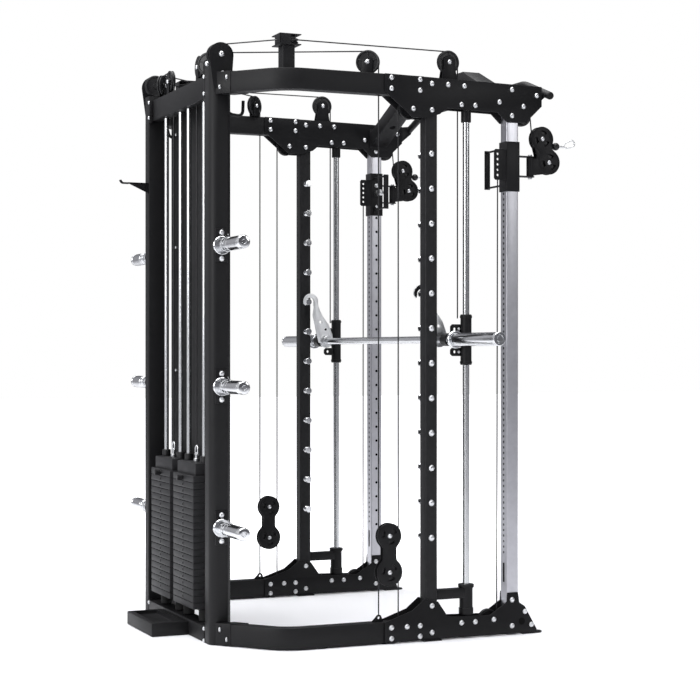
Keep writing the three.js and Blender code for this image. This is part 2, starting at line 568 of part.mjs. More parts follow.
// ---- cable trolley and swivel head --------------------------------------------------
const trolleyHigh = TROLLEY_LOW + TROLLEY_LENGTH;
const trolleyHalf = TUBE / 2 + TROLLEY_PLAY + TROLLEY_WALL;
const trolleyFront = COLUMN_REACH + trolleyHalf;
const trolleyBack = COLUMN_REACH - trolleyHalf;
const trolleyInside = FRAME_X - trolleyHalf;
const ladderHoleReach = trolleyBack - 36;

// Both trolleys have the plate of holes on their left-hand side: inside on the right frame, outside on the left one.
const LADDER_INSIDE = trolleyInside;
const LADDER_OUTSIDE = FRAME_X + trolleyHalf - PLATE;

function trolley(ladderX) {
  const squareBlock = (half, z0, z1) =>
    block(FRAME_X - half, FRAME_X + half, COLUMN_REACH - half, COLUMN_REACH + half, z0, z1);
  const body = squareBlock(trolleyHalf, TROLLEY_LOW, trolleyHigh);
  const bore = squareBlock(TUBE / 2 + TROLLEY_PLAY, TROLLEY_LOW - 1, trolleyHigh + 1);
  const ladder = block(ladderX, ladderX + PLATE, trolleyBack - LADDER_LENGTH, trolleyBack + 1, LADDER_LOW, LADDER_HIGH);
  const rungs = Array.from({ length: 5 }, (_, i) =>
    round('x', 4.5, ladderX - 5, ladderX + 10, [ladderHoleReach, (LADDER_LOW + LADDER_HIGH) / 2 + (i - 2) * 20], 10));
  const clevis = [SWIVEL_LOW - CLEVIS_PLATE, SWIVEL_HIGH].map((z) =>
    join(block(FRAME_X - 17, FRAME_X + 17, trolleyFront - 1, SWIVEL_REACH, z, z + CLEVIS_PLATE),
      round('z', 17, z, z + CLEVIS_PLATE, [FRAME_X, SWIVEL_REACH], 10)));
  const gripX = trolleyInside - 128;
  const grip = block(gripX, gripX + 6, COLUMN_REACH - 24, COLUMN_REACH - 1, HANDLE_LOW - 6, HANDLE_HIGH + 6);
  const arms = [HANDLE_LOW, HANDLE_HIGH].map((z) =>
    round('x', 4, gripX + 3, trolleyInside + 2, [COLUMN_REACH - 12, z], 8));
  const pinBarrel = round('x', 12, trolleyInside + 1, trolleyInside - 22, [COLUMN_REACH, PIN_HEIGHT], 10);
  const pinBore = round('x', 5.5, trolleyInside - 30, trolleyInside + TROLLEY_WALL + 1, [COLUMN_REACH, PIN_HEIGHT], 10);
  return cut(join(cut(body, bore), ladder, clevis, grip, arms, pinBarrel), rungs, pinBore);
}

function popPin() {
  const shaft = round('x', 4.9, trolleyInside + TROLLEY_WALL, trolleyInside - 24, [COLUMN_REACH, PIN_HEIGHT], 10);
  const knob = round('x', 14, trolleyInside - 22.5, trolleyInside - 46, [COLUMN_REACH, PIN_HEIGHT], 10);
  return join(shaft, knob);
}

const headPulleyReach = FRONT_DROP_REACH + CABLE_TURN + 8;
const lowerHeadReach = headPulleyReach + 29;
const lowerHeadHeight = HEAD_PULLEY_HEIGHT - 89;
function swivelHead() {
  const swivel = round('z', SWIVEL_RADIUS, SWIVEL_LOW + GAP, SWIVEL_HIGH - GAP, [FRAME_X, SWIVEL_REACH], 10);
  const pair = [-1, 1].map((side) => {
    const near = FRAME_X + side * (PULLEY_HALF_WIDTH + 1.5);
    const x0 = Math.min(near, near + side * LINE_PLATE);
    const x1 = x0 + LINE_PLATE;
    const discs = [[headPulleyReach, HEAD_PULLEY_HEIGHT], [lowerHeadReach, lowerHeadHeight]].map((place) =>
      round('x', 47, x0, x1, place, 10));
    const clear = SWIVEL_REACH + 23;
    const web = sidePlate([[SWIVEL_REACH, SWIVEL_LOW + 3], [lowerHeadReach, lowerHeadHeight - 47],
      [lowerHeadReach, lowerHeadHeight], [headPulleyReach + 20, HEAD_PULLEY_HEIGHT],
      [headPulleyReach - 40, HEAD_PULLEY_HEIGHT - 20], [clear, SWIVEL_HIGH + CLEVIS_PLATE + 2],
      [clear, SWIVEL_HIGH - 4], [SWIVEL_REACH, SWIVEL_HIGH - 4]], x0, x1);
    return join(discs, web);
  });
  const axles = [[headPulleyReach, HEAD_PULLEY_HEIGHT], [lowerHeadReach, lowerHeadHeight]].map((place) =>
    join(disc(FRAME_X, ...place), round('x', 7, FRAME_X - 18, FRAME_X + 18, place, 10)));
  return join(swivel, pair, axles);
}

const ballReach = lowerHeadReach + 36;
const ballHeight = (HEAD_PULLEY_HEIGHT + lowerHeadHeight) / 2 + 19;
const SNAP_RISE = Math.PI / 9;   // the snap hook's tilt
function cableEnd() {
  const ball = solid(new THREE.SphereGeometry(15, 10, 6).translate(FRAME_X, -ballReach, ballHeight));
  const stem = round('y', 4, ballReach, ballReach + 34, [FRAME_X, ballHeight], 8);
  const loop = [[0, 0], [10, 9], [32, 12], [52, 8], [58, 0], [52, -8], [32, -12], [10, -9], [0, 0]];
  const ring = loop.map(([along, up]) => [FRAME_X,
    ballReach + 32 + along * Math.cos(SNAP_RISE) - up * Math.sin(SNAP_RISE),
    ballHeight + along * Math.sin(SNAP_RISE) + up * Math.cos(SNAP_RISE)]);
  return join(ball, stem, tube(ring.slice(0, 5), 3, 5), tube(ring.slice(4), 3, 5));
}

// ---- travelling block ---------------------------------------------------------------
function travellingBlock() {
  const waist = 26;
  const middle = (BLOCK_UPPER + BLOCK_LOWER) / 2;
  const plates = [-1, 1].map((side) => {
    const near = FRAME_X + side * (PULLEY_HALF_WIDTH + 1.5);
    const x0 = Math.min(near, near + side * LINE_PLATE);
    const x1 = x0 + LINE_PLATE;
    const neck = [[-40, BLOCK_LOWER + 20], [40, BLOCK_LOWER + 20], [waist, middle + 8], [34, BLOCK_UPPER - 30],
      [-34, BLOCK_UPPER - 30], [-waist, middle + 8]];
    return join(round('x', BLOCK_HALF_WIDTH, x0, x1, [BLOCK_REACH, BLOCK_UPPER], 10),
      round('x', BLOCK_HALF_WIDTH + 4, x0, x1, [BLOCK_REACH, BLOCK_LOWER], 10),
      sidePlate(neck.map(([out, z]) => [BLOCK_REACH + out, z]), x0, x1));
  });
  const axles = [BLOCK_UPPER, BLOCK_LOWER].map((z) => round('x', 7, FRAME_X - 18, FRAME_X + 18, [BLOCK_REACH, z], 10));
  return join(plates, axles, disc(FRAME_X, BLOCK_REACH, BLOCK_LOWER));
}

// ---- cables -------------------------------------------------------------------------
// Wraps a pulley that stands square to x, as points (x, reach, height).
const wrap = (x, reach, z, from, to, count = 6) =>
  arc([reach, z], CABLE_TURN, from, to, count).map(([r, h]) => [x, r, h]);

function highCable() {
  const overF = Array.from({ length: 5 }, (_, i) => {
    const angle = THREE.MathUtils.degToRad(90 - i * 22.5);
    const out = CABLE_TURN * Math.cos(angle);
    return [fCentre[0] + out * fAim[0], fCentre[1] + out * fAim[1], F_HEIGHT + CABLE_TURN * Math.sin(angle)];
  });
  const overLift = arc([liftPulleyX, liftPulleyHeight], CABLE_TURN, 180, 90, 5).map(([x, z]) => [x, TOWER_REACH, z]);
  const crest = liftPulleyHeight + CABLE_TURN;
  return tube([
    [STACK_X, TOWER_REACH, stackTop + WEIGHT_PLATE + STACK_HEAD_HEIGHT + 62], ...overLift,
    [turnPulleyX - 10, TOWER_REACH, crest], [turnPulleyX + 14, TOWER_REACH + 12, crest],
    ...overF,
    ...wrap(FRAME_X, BLOCK_REACH, BLOCK_UPPER, 180, 360, 8),
    ...wrap(FRAME_X, backPulleyReach, TOP_PULLEY_HEIGHT, 180, 90, 5),
    ...wrap(FRAME_X, frontPulleyReach, TOP_PULLEY_HEIGHT, 90, 0, 5),
    [FRAME_X, FRONT_DROP_REACH, HEAD_PULLEY_HEIGHT + 48],
  ], CABLE_RADIUS);
}

function lowCable(ladderX) {
  return tube([
    [FRAME_X, BLOCK_REACH - CABLE_TURN, 108 + GAP + 1],
    ...wrap(FRAME_X, BLOCK_REACH, BLOCK_LOWER, 180, 0, 8),
    ...wrap(FRAME_X, backPulleyReach, BOTTOM_PULLEY_HEIGHT, 180, 270, 5),
    ...wrap(FRAME_X, columnPulleyReach, BOTTOM_PULLEY_HEIGHT, 270, 360, 5),
    [FRAME_X, COLUMN_LINE_REACH, TROLLEY_LOW - 90], [ladderX + PLATE / 2, ladderHoleReach, LADDER_LOW - 1],
  ], CABLE_RADIUS);
}

function smithCable() {
  const postX = LINE_X - CABLE_TURN;
  const overPost = arc([postX, POST_REACH], CABLE_TURN, -POST_WRAP, 0, 4).map(([x, reach]) => [x, reach, POST_LINE]);
  return tube([
    [TOWER_X, TOWER_REACH - CABLE_TURN, G_HEIGHT - 10],
    ...wrap(TOWER_X, TOWER_REACH, G_HEIGHT + 4, 180, 90, 5),
    ...overPost,
    ...wrap(LINE_X, G_REACH, G_HEIGHT, 90, 0, 5),
    [LINE_X, G_REACH + CABLE_TURN, BAR_HEIGHT + 78 + 2],
  ], CABLE_RADIUS);
}

// ---- materials ----------------------------------------------------------------------
const finish = (color, roughness, metalness) => new THREE.MeshStandardMaterial({ color, roughness, metalness });
const blackPaint = finish(0x1b1b1d, 0.5, 0.3);
const greyPaint = finish(0x3a3a3d, 0.5, 0.3);
const chrome = finish(0xd8dadd, 0.15, 1);
const zinc = finish(0xb9bcc0, 0.4, 1);
const castIron = finish(0x2a2b2e, 0.7, 0.4);
const nylon = finish(0x111113, 0.6, 0);
const satinSteel = finish(0xc9cbce, 0.35, 1);

// ---- assembly -----------------------------------------------------------------------
function meshOf(name, body, material, mirrored = false) {
  const { vertProperties, triVerts } = body.getMesh();
  const geometry = new THREE.BufferGeometry();
  const index = Array.from(triVerts);
  for (let i = 0; mirrored && i < index.length; i += 3) [index[i + 1], index[i + 2]] = [index[i + 2], index[i + 1]];
  geometry.setAttribute('position', new THREE.BufferAttribute(new Float32Array(vertProperties), 3));
  geometry.setIndex(index);
  if (mirrored) geometry.scale(-1, 1, 1);
  geometry.computeVertexNormals();
  const mesh = new THREE.Mesh(geometry, material);
  mesh.name = name;
  return mesh;
}

const machine = new THREE.Group();
const single = [
  ['tower_head_beam', towerHeadBeam, greyPaint], ['tower_base', towerBase, blackPaint],
  ['tower_shroud', shroud, blackPaint], ['cross_member', crossMember, blackPaint],
  ['pull_up_bar', pullUpBar, blackPaint], ['bar_shaft', barShaft, chrome],
];
// Name, builder of the right-hand piece, finish, and the left-hand builder where that piece isn't a mirror image.
const paired = [
  ['main_upright', mainUpright, blackPaint], ['cable_column', column, zinc], ['guide_rod', guideRod, chrome],
  ['rod_socket', rodSocket, blackPaint], ['top_plates', topPlates, blackPaint],
  ['bottom_plates', bottomPlates, blackPaint],
  ['top_rail', topRail, blackPaint], ['base_rail', baseRail, blackPaint],
  ['rear_upright', () => join(rearUpright(), accessoryHook()), blackPaint, rearUpright],
  ['stack_rods', stackRods, chrome], ['resting_plates', restingPlates, castIron],
  ['lifted_plate', liftedPlate, castIron],
  ['selector_pin', selectorPin, chrome], ['sleeve', sleeve, chrome], ['hook', hook, satinSteel],
  ['carriage', carriage, blackPaint],
  ['trolley', () => trolley(LADDER_INSIDE), blackPaint, () => trolley(LADDER_OUTSIDE)],
  ['pop_pin', popPin, satinSteel],
  ['swivel_head', swivelHead, blackPaint], ['cable_end', cableEnd, nylon],
  ['travelling_block', travellingBlock, blackPaint],
  ['high_cable', highCable, nylon],
  ['low_cable', () => lowCable(LADDER_INSIDE), nylon, () => lowCable(LADDER_OUTSIDE)],
  ['smith_cable', smithCable, nylon],
];
const boredPulley = (x, reach, z, radius) => bored(pulley(x, reach, z), x, reach, z, radius);
const wheels = [
  ['block_pulley', () => boredPulley(FRAME_X, BLOCK_REACH, BLOCK_UPPER, 7.5)],
  ['bridge_pulley', () => pulley(LINE_X, G_REACH, G_HEIGHT)],
  ['rail_pulley', () => turned(boredPulley(...fCentre, F_HEIGHT, 6.6), ...fCentre, F_TURN)],
];
for (const [name, build, material] of single) machine.add(meshOf(name, build(), material));
for (const [name, build, material, buildLeft] of [...paired, ...wheels.map(([n, b]) => [n, b, nylon])]) {
  const body = build();
  machine.add(meshOf(`right_${name}`, body, material));
  machine.add(meshOf(`left_${name}`, buildLeft ? buildLeft() : body, material, true));
}

// The origin is under the middle of the whole machine, on the floor.
const bounds = new THREE.Box3().setFromObject(machine);
const middle = bounds.getCenter(new THREE.Vector3());
machine.position.set(-middle.x, -middle.y, -bounds.min.z);

export default machine;
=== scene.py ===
"""Smith machine with a twin-stack cable crossover: the finished look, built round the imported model.

Shapes are drawn in millimetres as (x, reach, height): reach runs forward from the main uprights, which is -Y.
Both sides are built by one set of functions, with side = 1 for the right and -1 for the left.
"""
import math

import bmesh
import bpy
from mathutils import Matrix, Vector


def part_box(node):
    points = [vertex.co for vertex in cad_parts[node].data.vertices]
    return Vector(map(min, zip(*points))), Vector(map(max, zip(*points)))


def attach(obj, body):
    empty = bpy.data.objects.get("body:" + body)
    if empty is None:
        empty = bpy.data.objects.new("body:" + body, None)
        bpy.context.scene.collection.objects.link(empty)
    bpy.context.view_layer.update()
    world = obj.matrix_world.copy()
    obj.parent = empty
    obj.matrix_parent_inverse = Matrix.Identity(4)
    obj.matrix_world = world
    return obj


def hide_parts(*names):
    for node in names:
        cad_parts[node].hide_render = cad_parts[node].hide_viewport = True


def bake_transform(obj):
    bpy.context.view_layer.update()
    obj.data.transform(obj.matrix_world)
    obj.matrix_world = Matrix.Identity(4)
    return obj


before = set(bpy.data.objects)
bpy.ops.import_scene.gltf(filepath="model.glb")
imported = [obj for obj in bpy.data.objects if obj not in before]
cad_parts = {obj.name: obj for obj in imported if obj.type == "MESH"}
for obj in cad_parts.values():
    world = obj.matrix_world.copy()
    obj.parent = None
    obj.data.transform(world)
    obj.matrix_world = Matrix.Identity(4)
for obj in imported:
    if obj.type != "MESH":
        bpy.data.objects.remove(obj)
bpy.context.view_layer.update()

# ---- places taken from the frame ------------------------------------------------------
MM = 0.001
SIDES = {"right": 1, "left": -1}


def middle(node):
    low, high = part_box(node)
    return (low + high) / 2


def reach_of(y):
    return (MAIN_Y - y) / MM


MAIN_Y = middle("right_main_upright").y
COLUMN = reach_of(middle("right_cable_column").y)
ROD = reach_of(middle("right_guide_rod").y)
TOWER = reach_of(middle("tower_head_beam").y)
BAR = reach_of(middle("bar_shaft").y)
BAR_Z = middle("bar_shaft").z / MM
FRAME_X = middle("right_cable_column").x / MM
TUBE = 50
PLATE = 5
GAP = 0.3
INNER = FRAME_X - TUBE / 2
OUTER = FRAME_X + TUBE / 2
INNER_PLATE = INNER - GAP - PLATE
OUTER_PLATE = OUTER + GAP
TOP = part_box("right_main_upright")[1].z / MM + 5
TURN = 40                    # radius of a cable's middle round its pulley
CABLE = 2.5
WHEEL = 44
WHEEL_HALF = 8
CHEEK = 9.5                  # from a pulley's middle to the near face of its side plates
CHEEK_PLATE = 4
BOLT = CHEEK + CHEEK_PLATE   # from a pulley's middle to the seat of its bolt heads
PLATE_BOLT = (9.8, 7)        # radius and height of the bolt heads on plates
BLOCK = -165
BLOCK_UP, BLOCK_LOW = 396, 261
LINE_X = middle("right_bridge_pulley").x / MM
BRIDGE = 85
BRIDGE_Z = 2163
RAIL_PULLEY_Z = 2144
RAIL_PULLEY_TURN = math.radians(33)
TOP_LINE = 2016
BOTTOM_LINE = 22
BACK_PULLEY = BLOCK + 2 * TURN
DROP = 433                   # the cable that drops to the swivel head
RISER = 288                  # the cable that rises behind the column
TROLLEY_LOW, TROLLEY_HIGH = 1685, 1874
PIN_Z = 1785
LADDER = (1726, 1843)
HANDLE = (1712, 1851)
SWIVEL = 433
SWIVEL_LOW, SWIVEL_HIGH = 1748, 1820
HEAD_UP = (DROP + TURN + 8, 1893)
HEAD_LOW = (HEAD_UP[0] + 29, HEAD_UP[1] - 89)
POST = -550
POST_X = LINE_X - TURN
POST_LINE = BRIDGE_Z + TURN
TOWER_X = 396                # the rear uprights
TOWER_HALF = 35
STACK_X = 146
STACK_RODS = (51.5, 240.5)
STACK_BASE = 110
WEIGHT = 25
RESTING = 19
STACK_TOP = STACK_BASE + RESTING * WEIGHT
STORAGE = (430, 948, 1465)
LIFT_Z = 2155                # the pulleys on top of the tower
LIFT_X = STACK_X + TURN
TURN_X = 285
CROWN = STACK_TOP + GAP + WEIGHT + 46    # top of the lifted weight, where its stem starts
PEG_LOW, PEG_PITCH, PEGS = 383, 130, 12  # the catch pegs
REST_PEG = PEG_LOW + 7 * PEG_PITCH       # the peg beside the bar's hooks at rest
PEG_END = INNER - 40
ROD_RADIUS = 12.5
BAR_RADIUS = 14
RAIL_HEIGHT = 78
RAIL_HALF = 25
BEND = 150                   # radius of the rails' bend, with its centre at BEND_REACH
BEND_REACH = -500
PULL_UP = 506                # reach of the pull-up bar

# ---- drawing ---------------------------------------------------------------------------


def arc(centre, radius, start, end, steps=10):
    """Points of an arc in a plane, angles in degrees."""
    points = []
    for i in range(steps + 1):
        angle = math.radians(start + (end - start) * i / steps)
        points.append((centre[0] + radius * math.cos(angle), centre[1] + radius * math.sin(angle)))
    return points


def soften(bm, width, segments=2):
    """Rounds every sharp edge of a shape."""
    if width <= 0:
        return bm
    sharp = [e for e in bm.edges if len(e.link_faces) == 2 and e.calc_face_angle(0) > math.radians(28)]
    bmesh.ops.bevel(bm, geom=sharp, offset=width, segments=segments, profile=0.5, affect="EDGES", clamp_overlap=True)
    return bm


def prism(base, shift, bevel):
    bm = bmesh.new()
    low = [bm.verts.new(p) for p in base]
    high = [bm.verts.new(Vector(p) + Vector(shift)) for p in base]
    bm.faces.new(low)
    bm.faces.new(list(reversed(high)))
    for i in range(len(base)):
        j = (i + 1) % len(base)
        bm.faces.new((low[i], high[i], high[j], low[j]))
    bmesh.ops.recalc_face_normals(bm, faces=bm.faces)
    return soften(bm, bevel)


def block(x0, x1, r0, r1, z0, z1, bevel=1.5):
    return prism([(x0, r0, z0), (x1, r0, z0), (x1, r1, z0), (x0, r1, z0)], (0, 0, z1 - z0), bevel)


def plate(outline, x0, x1, bevel=1.0):
    return prism([(x0, r, z) for r, z in outline], (x1 - x0, 0, 0), bevel)


def plan(outline, z0, z1, bevel=1.5):
    return prism([(x, r, z0) for x, r in outline], (0, 0, z1 - z0), bevel)


def lathe(axis, centre, profile, sides=36):
    """A turned shape. The profile is (place along the axis, radius); centre holds the other two coordinates."""
    bm = bmesh.new()
    rings = []
    for along, radius in profile:
        if radius < 1e-6:
            rings.append([bm.verts.new(axis_point(axis, centre, along, 0, 0))])
            continue
        turns = [2 * math.pi * i / sides for i in range(sides)]
        rings.append([bm.verts.new(axis_point(axis, centre, along, radius, turn)) for turn in turns])
    for a, b in zip(rings, rings[1:]):
        for i in range(sides):
            j = (i + 1) % sides
            corners = [a[i % len(a)], a[j % len(a)], b[j % len(b)], b[i % len(b)]]
            bm.faces.new(list(dict.fromkeys(corners)))
    if len(rings[0]) > 1 and len(rings[-1]) > 1:
        bm.faces.new(rings[0])
        bm.faces.new(list(reversed(rings[-1])))
    bmesh.ops.recalc_face_normals(bm, faces=bm.faces)
    return bm


def axis_point(axis, centre, along, radius, angle):
    a = centre[0] + radius * math.cos(angle)
    b = centre[1] + radius * math.sin(angle)
    return {"x": (along, a, b), "r": (a, along, b), "z": (a, b, along)}[axis]


def rod(axis, centre, radius, start, end, edge=0.8, sides=36):
    step = math.copysign(edge, end - start)
    return lathe(axis, centre, [(start, 0), (start, radius - edge), (start + step, radius), (end - step, radius),
                                (end, radius - edge), (end, 0)], sides)


def ring(axis, centre, outer, inner, start, end, edge=0.8, sides=40):
    """A turned ring, closed on itself."""
    step = math.copysign(edge, end - start)
    profile = [(start, inner), (start, outer - edge), (start + step, outer), (end - step, outer), (end, outer - edge),
               (end, inner)]
    bm = bmesh.new()
    rings = [[bm.verts.new(axis_point(axis, centre, along, r, 2 * math.pi * i / sides)) for i in range(sides)]
             for along, r in profile]
    for n in range(len(rings)):
        a, b = rings[n], rings[(n + 1) % len(rings)]
        for i in range(sides):
            j = (i + 1) % sides
            bm.faces.new((a[i], a[j], b[j], b[i]))
    bmesh.ops.recalc_face_normals(bm, faces=bm.faces)
    return bm


def dome(axis, centre, base, radius=8.5, height=6.5, out=1, sides=20):
    """A dome head on its flange, standing on base and pointing out."""
    profile = [(base, 0), (base, radius), (base + out * 1.2, radius), (base + out * 1.6, radius * 0.9)]
    for i in range(1, 6):
        t = math.radians(90 * i / 5)
        profile.append((base + out * (1.6 + (height - 1.6) * math.sin(t)), radius * 0.9 * math.cos(t)))
    profile[-1] = (profile[-1][0], 0)
    return lathe(axis, centre, profile, sides)


def pipe(points, radius, sides=12):
    """A round bar that follows points, with flat ends."""
    path = [Vector(p) for p in points]
    bm = bmesh.new()
    rings = []
    side = None
    for i, p in enumerate(path):
        ahead = (path[min(i + 1, len(path) - 1)] - path[max(i - 1, 0)]).normalized()
        if side is None:
            side = ahead.orthogonal().normalized()
        side = (side - ahead * side.dot(ahead)).normalized()
        across = ahead.cross(side)
        rings.append([bm.verts.new(p + radius * (side * math.cos(t) + across * math.sin(t)))
                      for t in (2 * math.pi * k / sides for k in range(sides))])
    for a, b in zip(rings, rings[1:]):
        for i in range(sides):
            j = (i + 1) % sides
            bm.faces.new((a[i], a[j], b[j], b[i]))
    bm.faces.new(rings[0])
    bm.faces.new(list(reversed(rings[-1])))
    bmesh.ops.recalc_face_normals(bm, faces=bm.faces)
    return bm


def rounded_path(corners, radius, steps=6):
    """The corners of a path, each rounded to a radius."""
    corners = [Vector(c) for c in corners]
    points = [corners[0]]
    for before, corner, after in zip(corners, corners[1:], corners[2:]):
        into = (before - corner).normalized()
        out = (after - corner).normalized()
        half = into.angle(out) / 2
        reach = min(radius / math.tan(half), (before - corner).length / 2, (after - corner).length / 2)
        a, b = corner + into * reach, corner + out * reach
        for i in range(steps + 1):
            t = i / steps
            points.append(a * (1 - t) ** 2 + corner * (2 * t * (1 - t)) + b * t ** 2)
    points.append(corners[-1])
    return points


def turn_about(bm, x, reach, degrees):
    """Turns a shape about an upright line."""
    bmesh.ops.rotate(bm, verts=bm.verts, cent=(x, reach, 0), matrix=Matrix.Rotation(math.radians(degrees), 3, "Z"))
    return bm


def make(name, shapes, finish, body, side=1, stands_for=(), crease=32):
    """Joins shapes into one piece, puts it in the frame and lets it ride on its body."""
    whole = bmesh.new()
    for shape in shapes:
        part = bpy.data.meshes.new("part")
        shape.to_mesh(part)
        shape.free()
        whole.from_mesh(part)
        bpy.data.meshes.remove(part)
    for v in whole.verts:
        x, reach, z = v.co
        v.co = (side * x * MM, MAIN_Y - reach * MM, z * MM)
    whole.normal_update()
    bmesh.ops.recalc_face_normals(whole, faces=whole.faces)
    mesh = bpy.data.meshes.new(name)
    whole.to_mesh(mesh)
    whole.free()
    mesh.shade_smooth()
    mesh.set_sharp_from_angle(angle=math.radians(crease))
    piece = bpy.data.objects.new(name, mesh)
    bpy.context.scene.collection.objects.link(piece)
    mesh.materials.append(finish)
    if body:
        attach(piece, body)
    if stands_for:
        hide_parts(*stands_for)
    return piece


def cut(piece, shapes, side=1):
    """Cuts shapes out of a piece."""
    tool = make(piece.name + "_tool", shapes, piece.data.materials[0], None, side)
    modifier = piece.modifiers.new("cut", "BOOLEAN")
    modifier.operation = "DIFFERENCE"
    modifier.solver = "MANIFOLD"
    modifier.object = tool
    bpy.context.view_layer.update()
    done = bpy.data.meshes.new_from_object(piece.evaluated_get(bpy.context.evaluated_depsgraph_get()))
    piece.modifiers.remove(modifier)
    old = piece.data
    piece.data = done
    done.name = old.name
    bpy.data.meshes.remove(old)
    bpy.data.objects.remove(tool)
    flat = bmesh.new()
    flat.from_mesh(done)
    bmesh.ops.remove_doubles(flat, verts=flat.verts, dist=1e-6)
    bmesh.ops.dissolve_limit(flat, angle_limit=math.radians(0.5), verts=flat.verts, edges=flat.edges)
    flat.to_mesh(done)
    flat.free()
    done.shade_smooth()
    done.set_sharp_from_angle(angle=math.radians(32))
    return piece


# ---- effects shared by the finishes ----------------------------------------------------


def group(name, inputs, outputs):
    tree = bpy.data.node_groups.new(name, "ShaderNodeTree")
    for label, kind, value in inputs:
        socket = tree.interface.new_socket(name=label, in_out="INPUT", socket_type=kind)
        socket.default_value = value
    for label, kind in outputs:
        tree.interface.new_socket(name=label, in_out="OUTPUT", socket_type=kind)
    return tree, tree.nodes.new("NodeGroupInput"), tree.nodes.new("NodeGroupOutput")


def powder_grain():
    """The fine pimpled skin of powder coat or cast paint, with a slow change of tone."""
    tree, given, result = group(
        "powder_grain",
        [("Grain Scale", "NodeSocketFloat", 900), ("Cloud Scale", "NodeSocketFloat", 6)],
        [("Grain", "NodeSocketFloat"), ("Cloud", "NodeSocketFloat")])
    place = tree.nodes.new("ShaderNodeTexCoord")
    grain = tree.nodes.new("ShaderNodeTexNoise")
    grain.inputs["Detail"].default_value = 3
    cloud = tree.nodes.new("ShaderNodeTexNoise")
    cloud.inputs["Detail"].default_value = 5
    cloud.inputs["Roughness"].default_value = 0.65
    link = tree.links.new
    link(place.outputs["Object"], grain.inputs["Vector"])
    link(place.outputs["Object"], cloud.inputs["Vector"])
    link(given.outputs["Grain Scale"], grain.inputs["Scale"])
    link(given.outputs["Cloud Scale"], cloud.inputs["Scale"])
    link(grain.outputs["Fac"], result.inputs["Grain"])
    link(cloud.outputs["Fac"], result.inputs["Cloud"])
    return tree


def drawn_lines():
    """Fine lines left by rolling, drawing or turning, stretched along one direction."""
    tree, given, result = group(
        "drawn_lines",
        [("Stretch", "NodeSocketVector", (1, 1, 1)), ("Scale", "NodeSocketFloat", 400)],
        [("Lines", "NodeSocketFloat")])
    place = tree.nodes.new("ShaderNodeTexCoord")
    stretch = tree.nodes.new("ShaderNodeVectorMath")
    stretch.operation = "MULTIPLY"
    lines = tree.nodes.new("ShaderNodeTexNoise")
    lines.inputs["Detail"].default_value = 4
    link = tree.links.new
    link(place.outputs["Object"], stretch.inputs[0])
    link(given.outputs["Stretch"], stretch.inputs[1])
    link(stretch.outputs["Vector"], lines.inputs["Vector"])
    link(given.outputs["Scale"], lines.inputs["Scale"])
    link(lines.outputs["Fac"], result.inputs["Lines"])
    return tree


def edge_rub():
    """A mask of rubbed edges: convex edges, broken up by noise."""
    tree, given, result = group(
        "edge_rub",
        [("Reach", "NodeSocketFloat", 0.56), ("Break Scale", "NodeSocketFloat", 60)],
        [("Mask", "NodeSocketFloat")])
    shape = tree.nodes.new("ShaderNodeNewGeometry")
    place = tree.nodes.new("ShaderNodeTexCoord")
    noise = tree.nodes.new("ShaderNodeTexNoise")
    noise.inputs["Detail"].default_value = 4
    edge = tree.nodes.new("ShaderNodeMapRange")
    edge.inputs["To Max"].default_value = 1
    top = tree.nodes.new("ShaderNodeMath")
    top.operation = "ADD"
    top.inputs[1].default_value = 0.08
    broken = tree.nodes.new("ShaderNodeMath")
    broken.operation = "MULTIPLY"
    link = tree.links.new
    link(given.outputs["Reach"], edge.inputs["From Min"])
    link(given.outputs["Reach"], top.inputs[0])
    link(top.outputs[0], edge.inputs["From Max"])
    link(shape.outputs["Pointiness"], edge.inputs["Value"])
    link(place.outputs["Object"], noise.inputs["Vector"])
    link(given.outputs["Break Scale"], noise.inputs["Scale"])
    link(edge.outputs["Result"], broken.inputs[0])
    link(noise.outputs["Fac"], broken.inputs[1])
    link(broken.outputs[0], result.inputs["Mask"])
    return tree


GRAIN = powder_grain()
LINES = drawn_lines()
RUB = edge_rub()


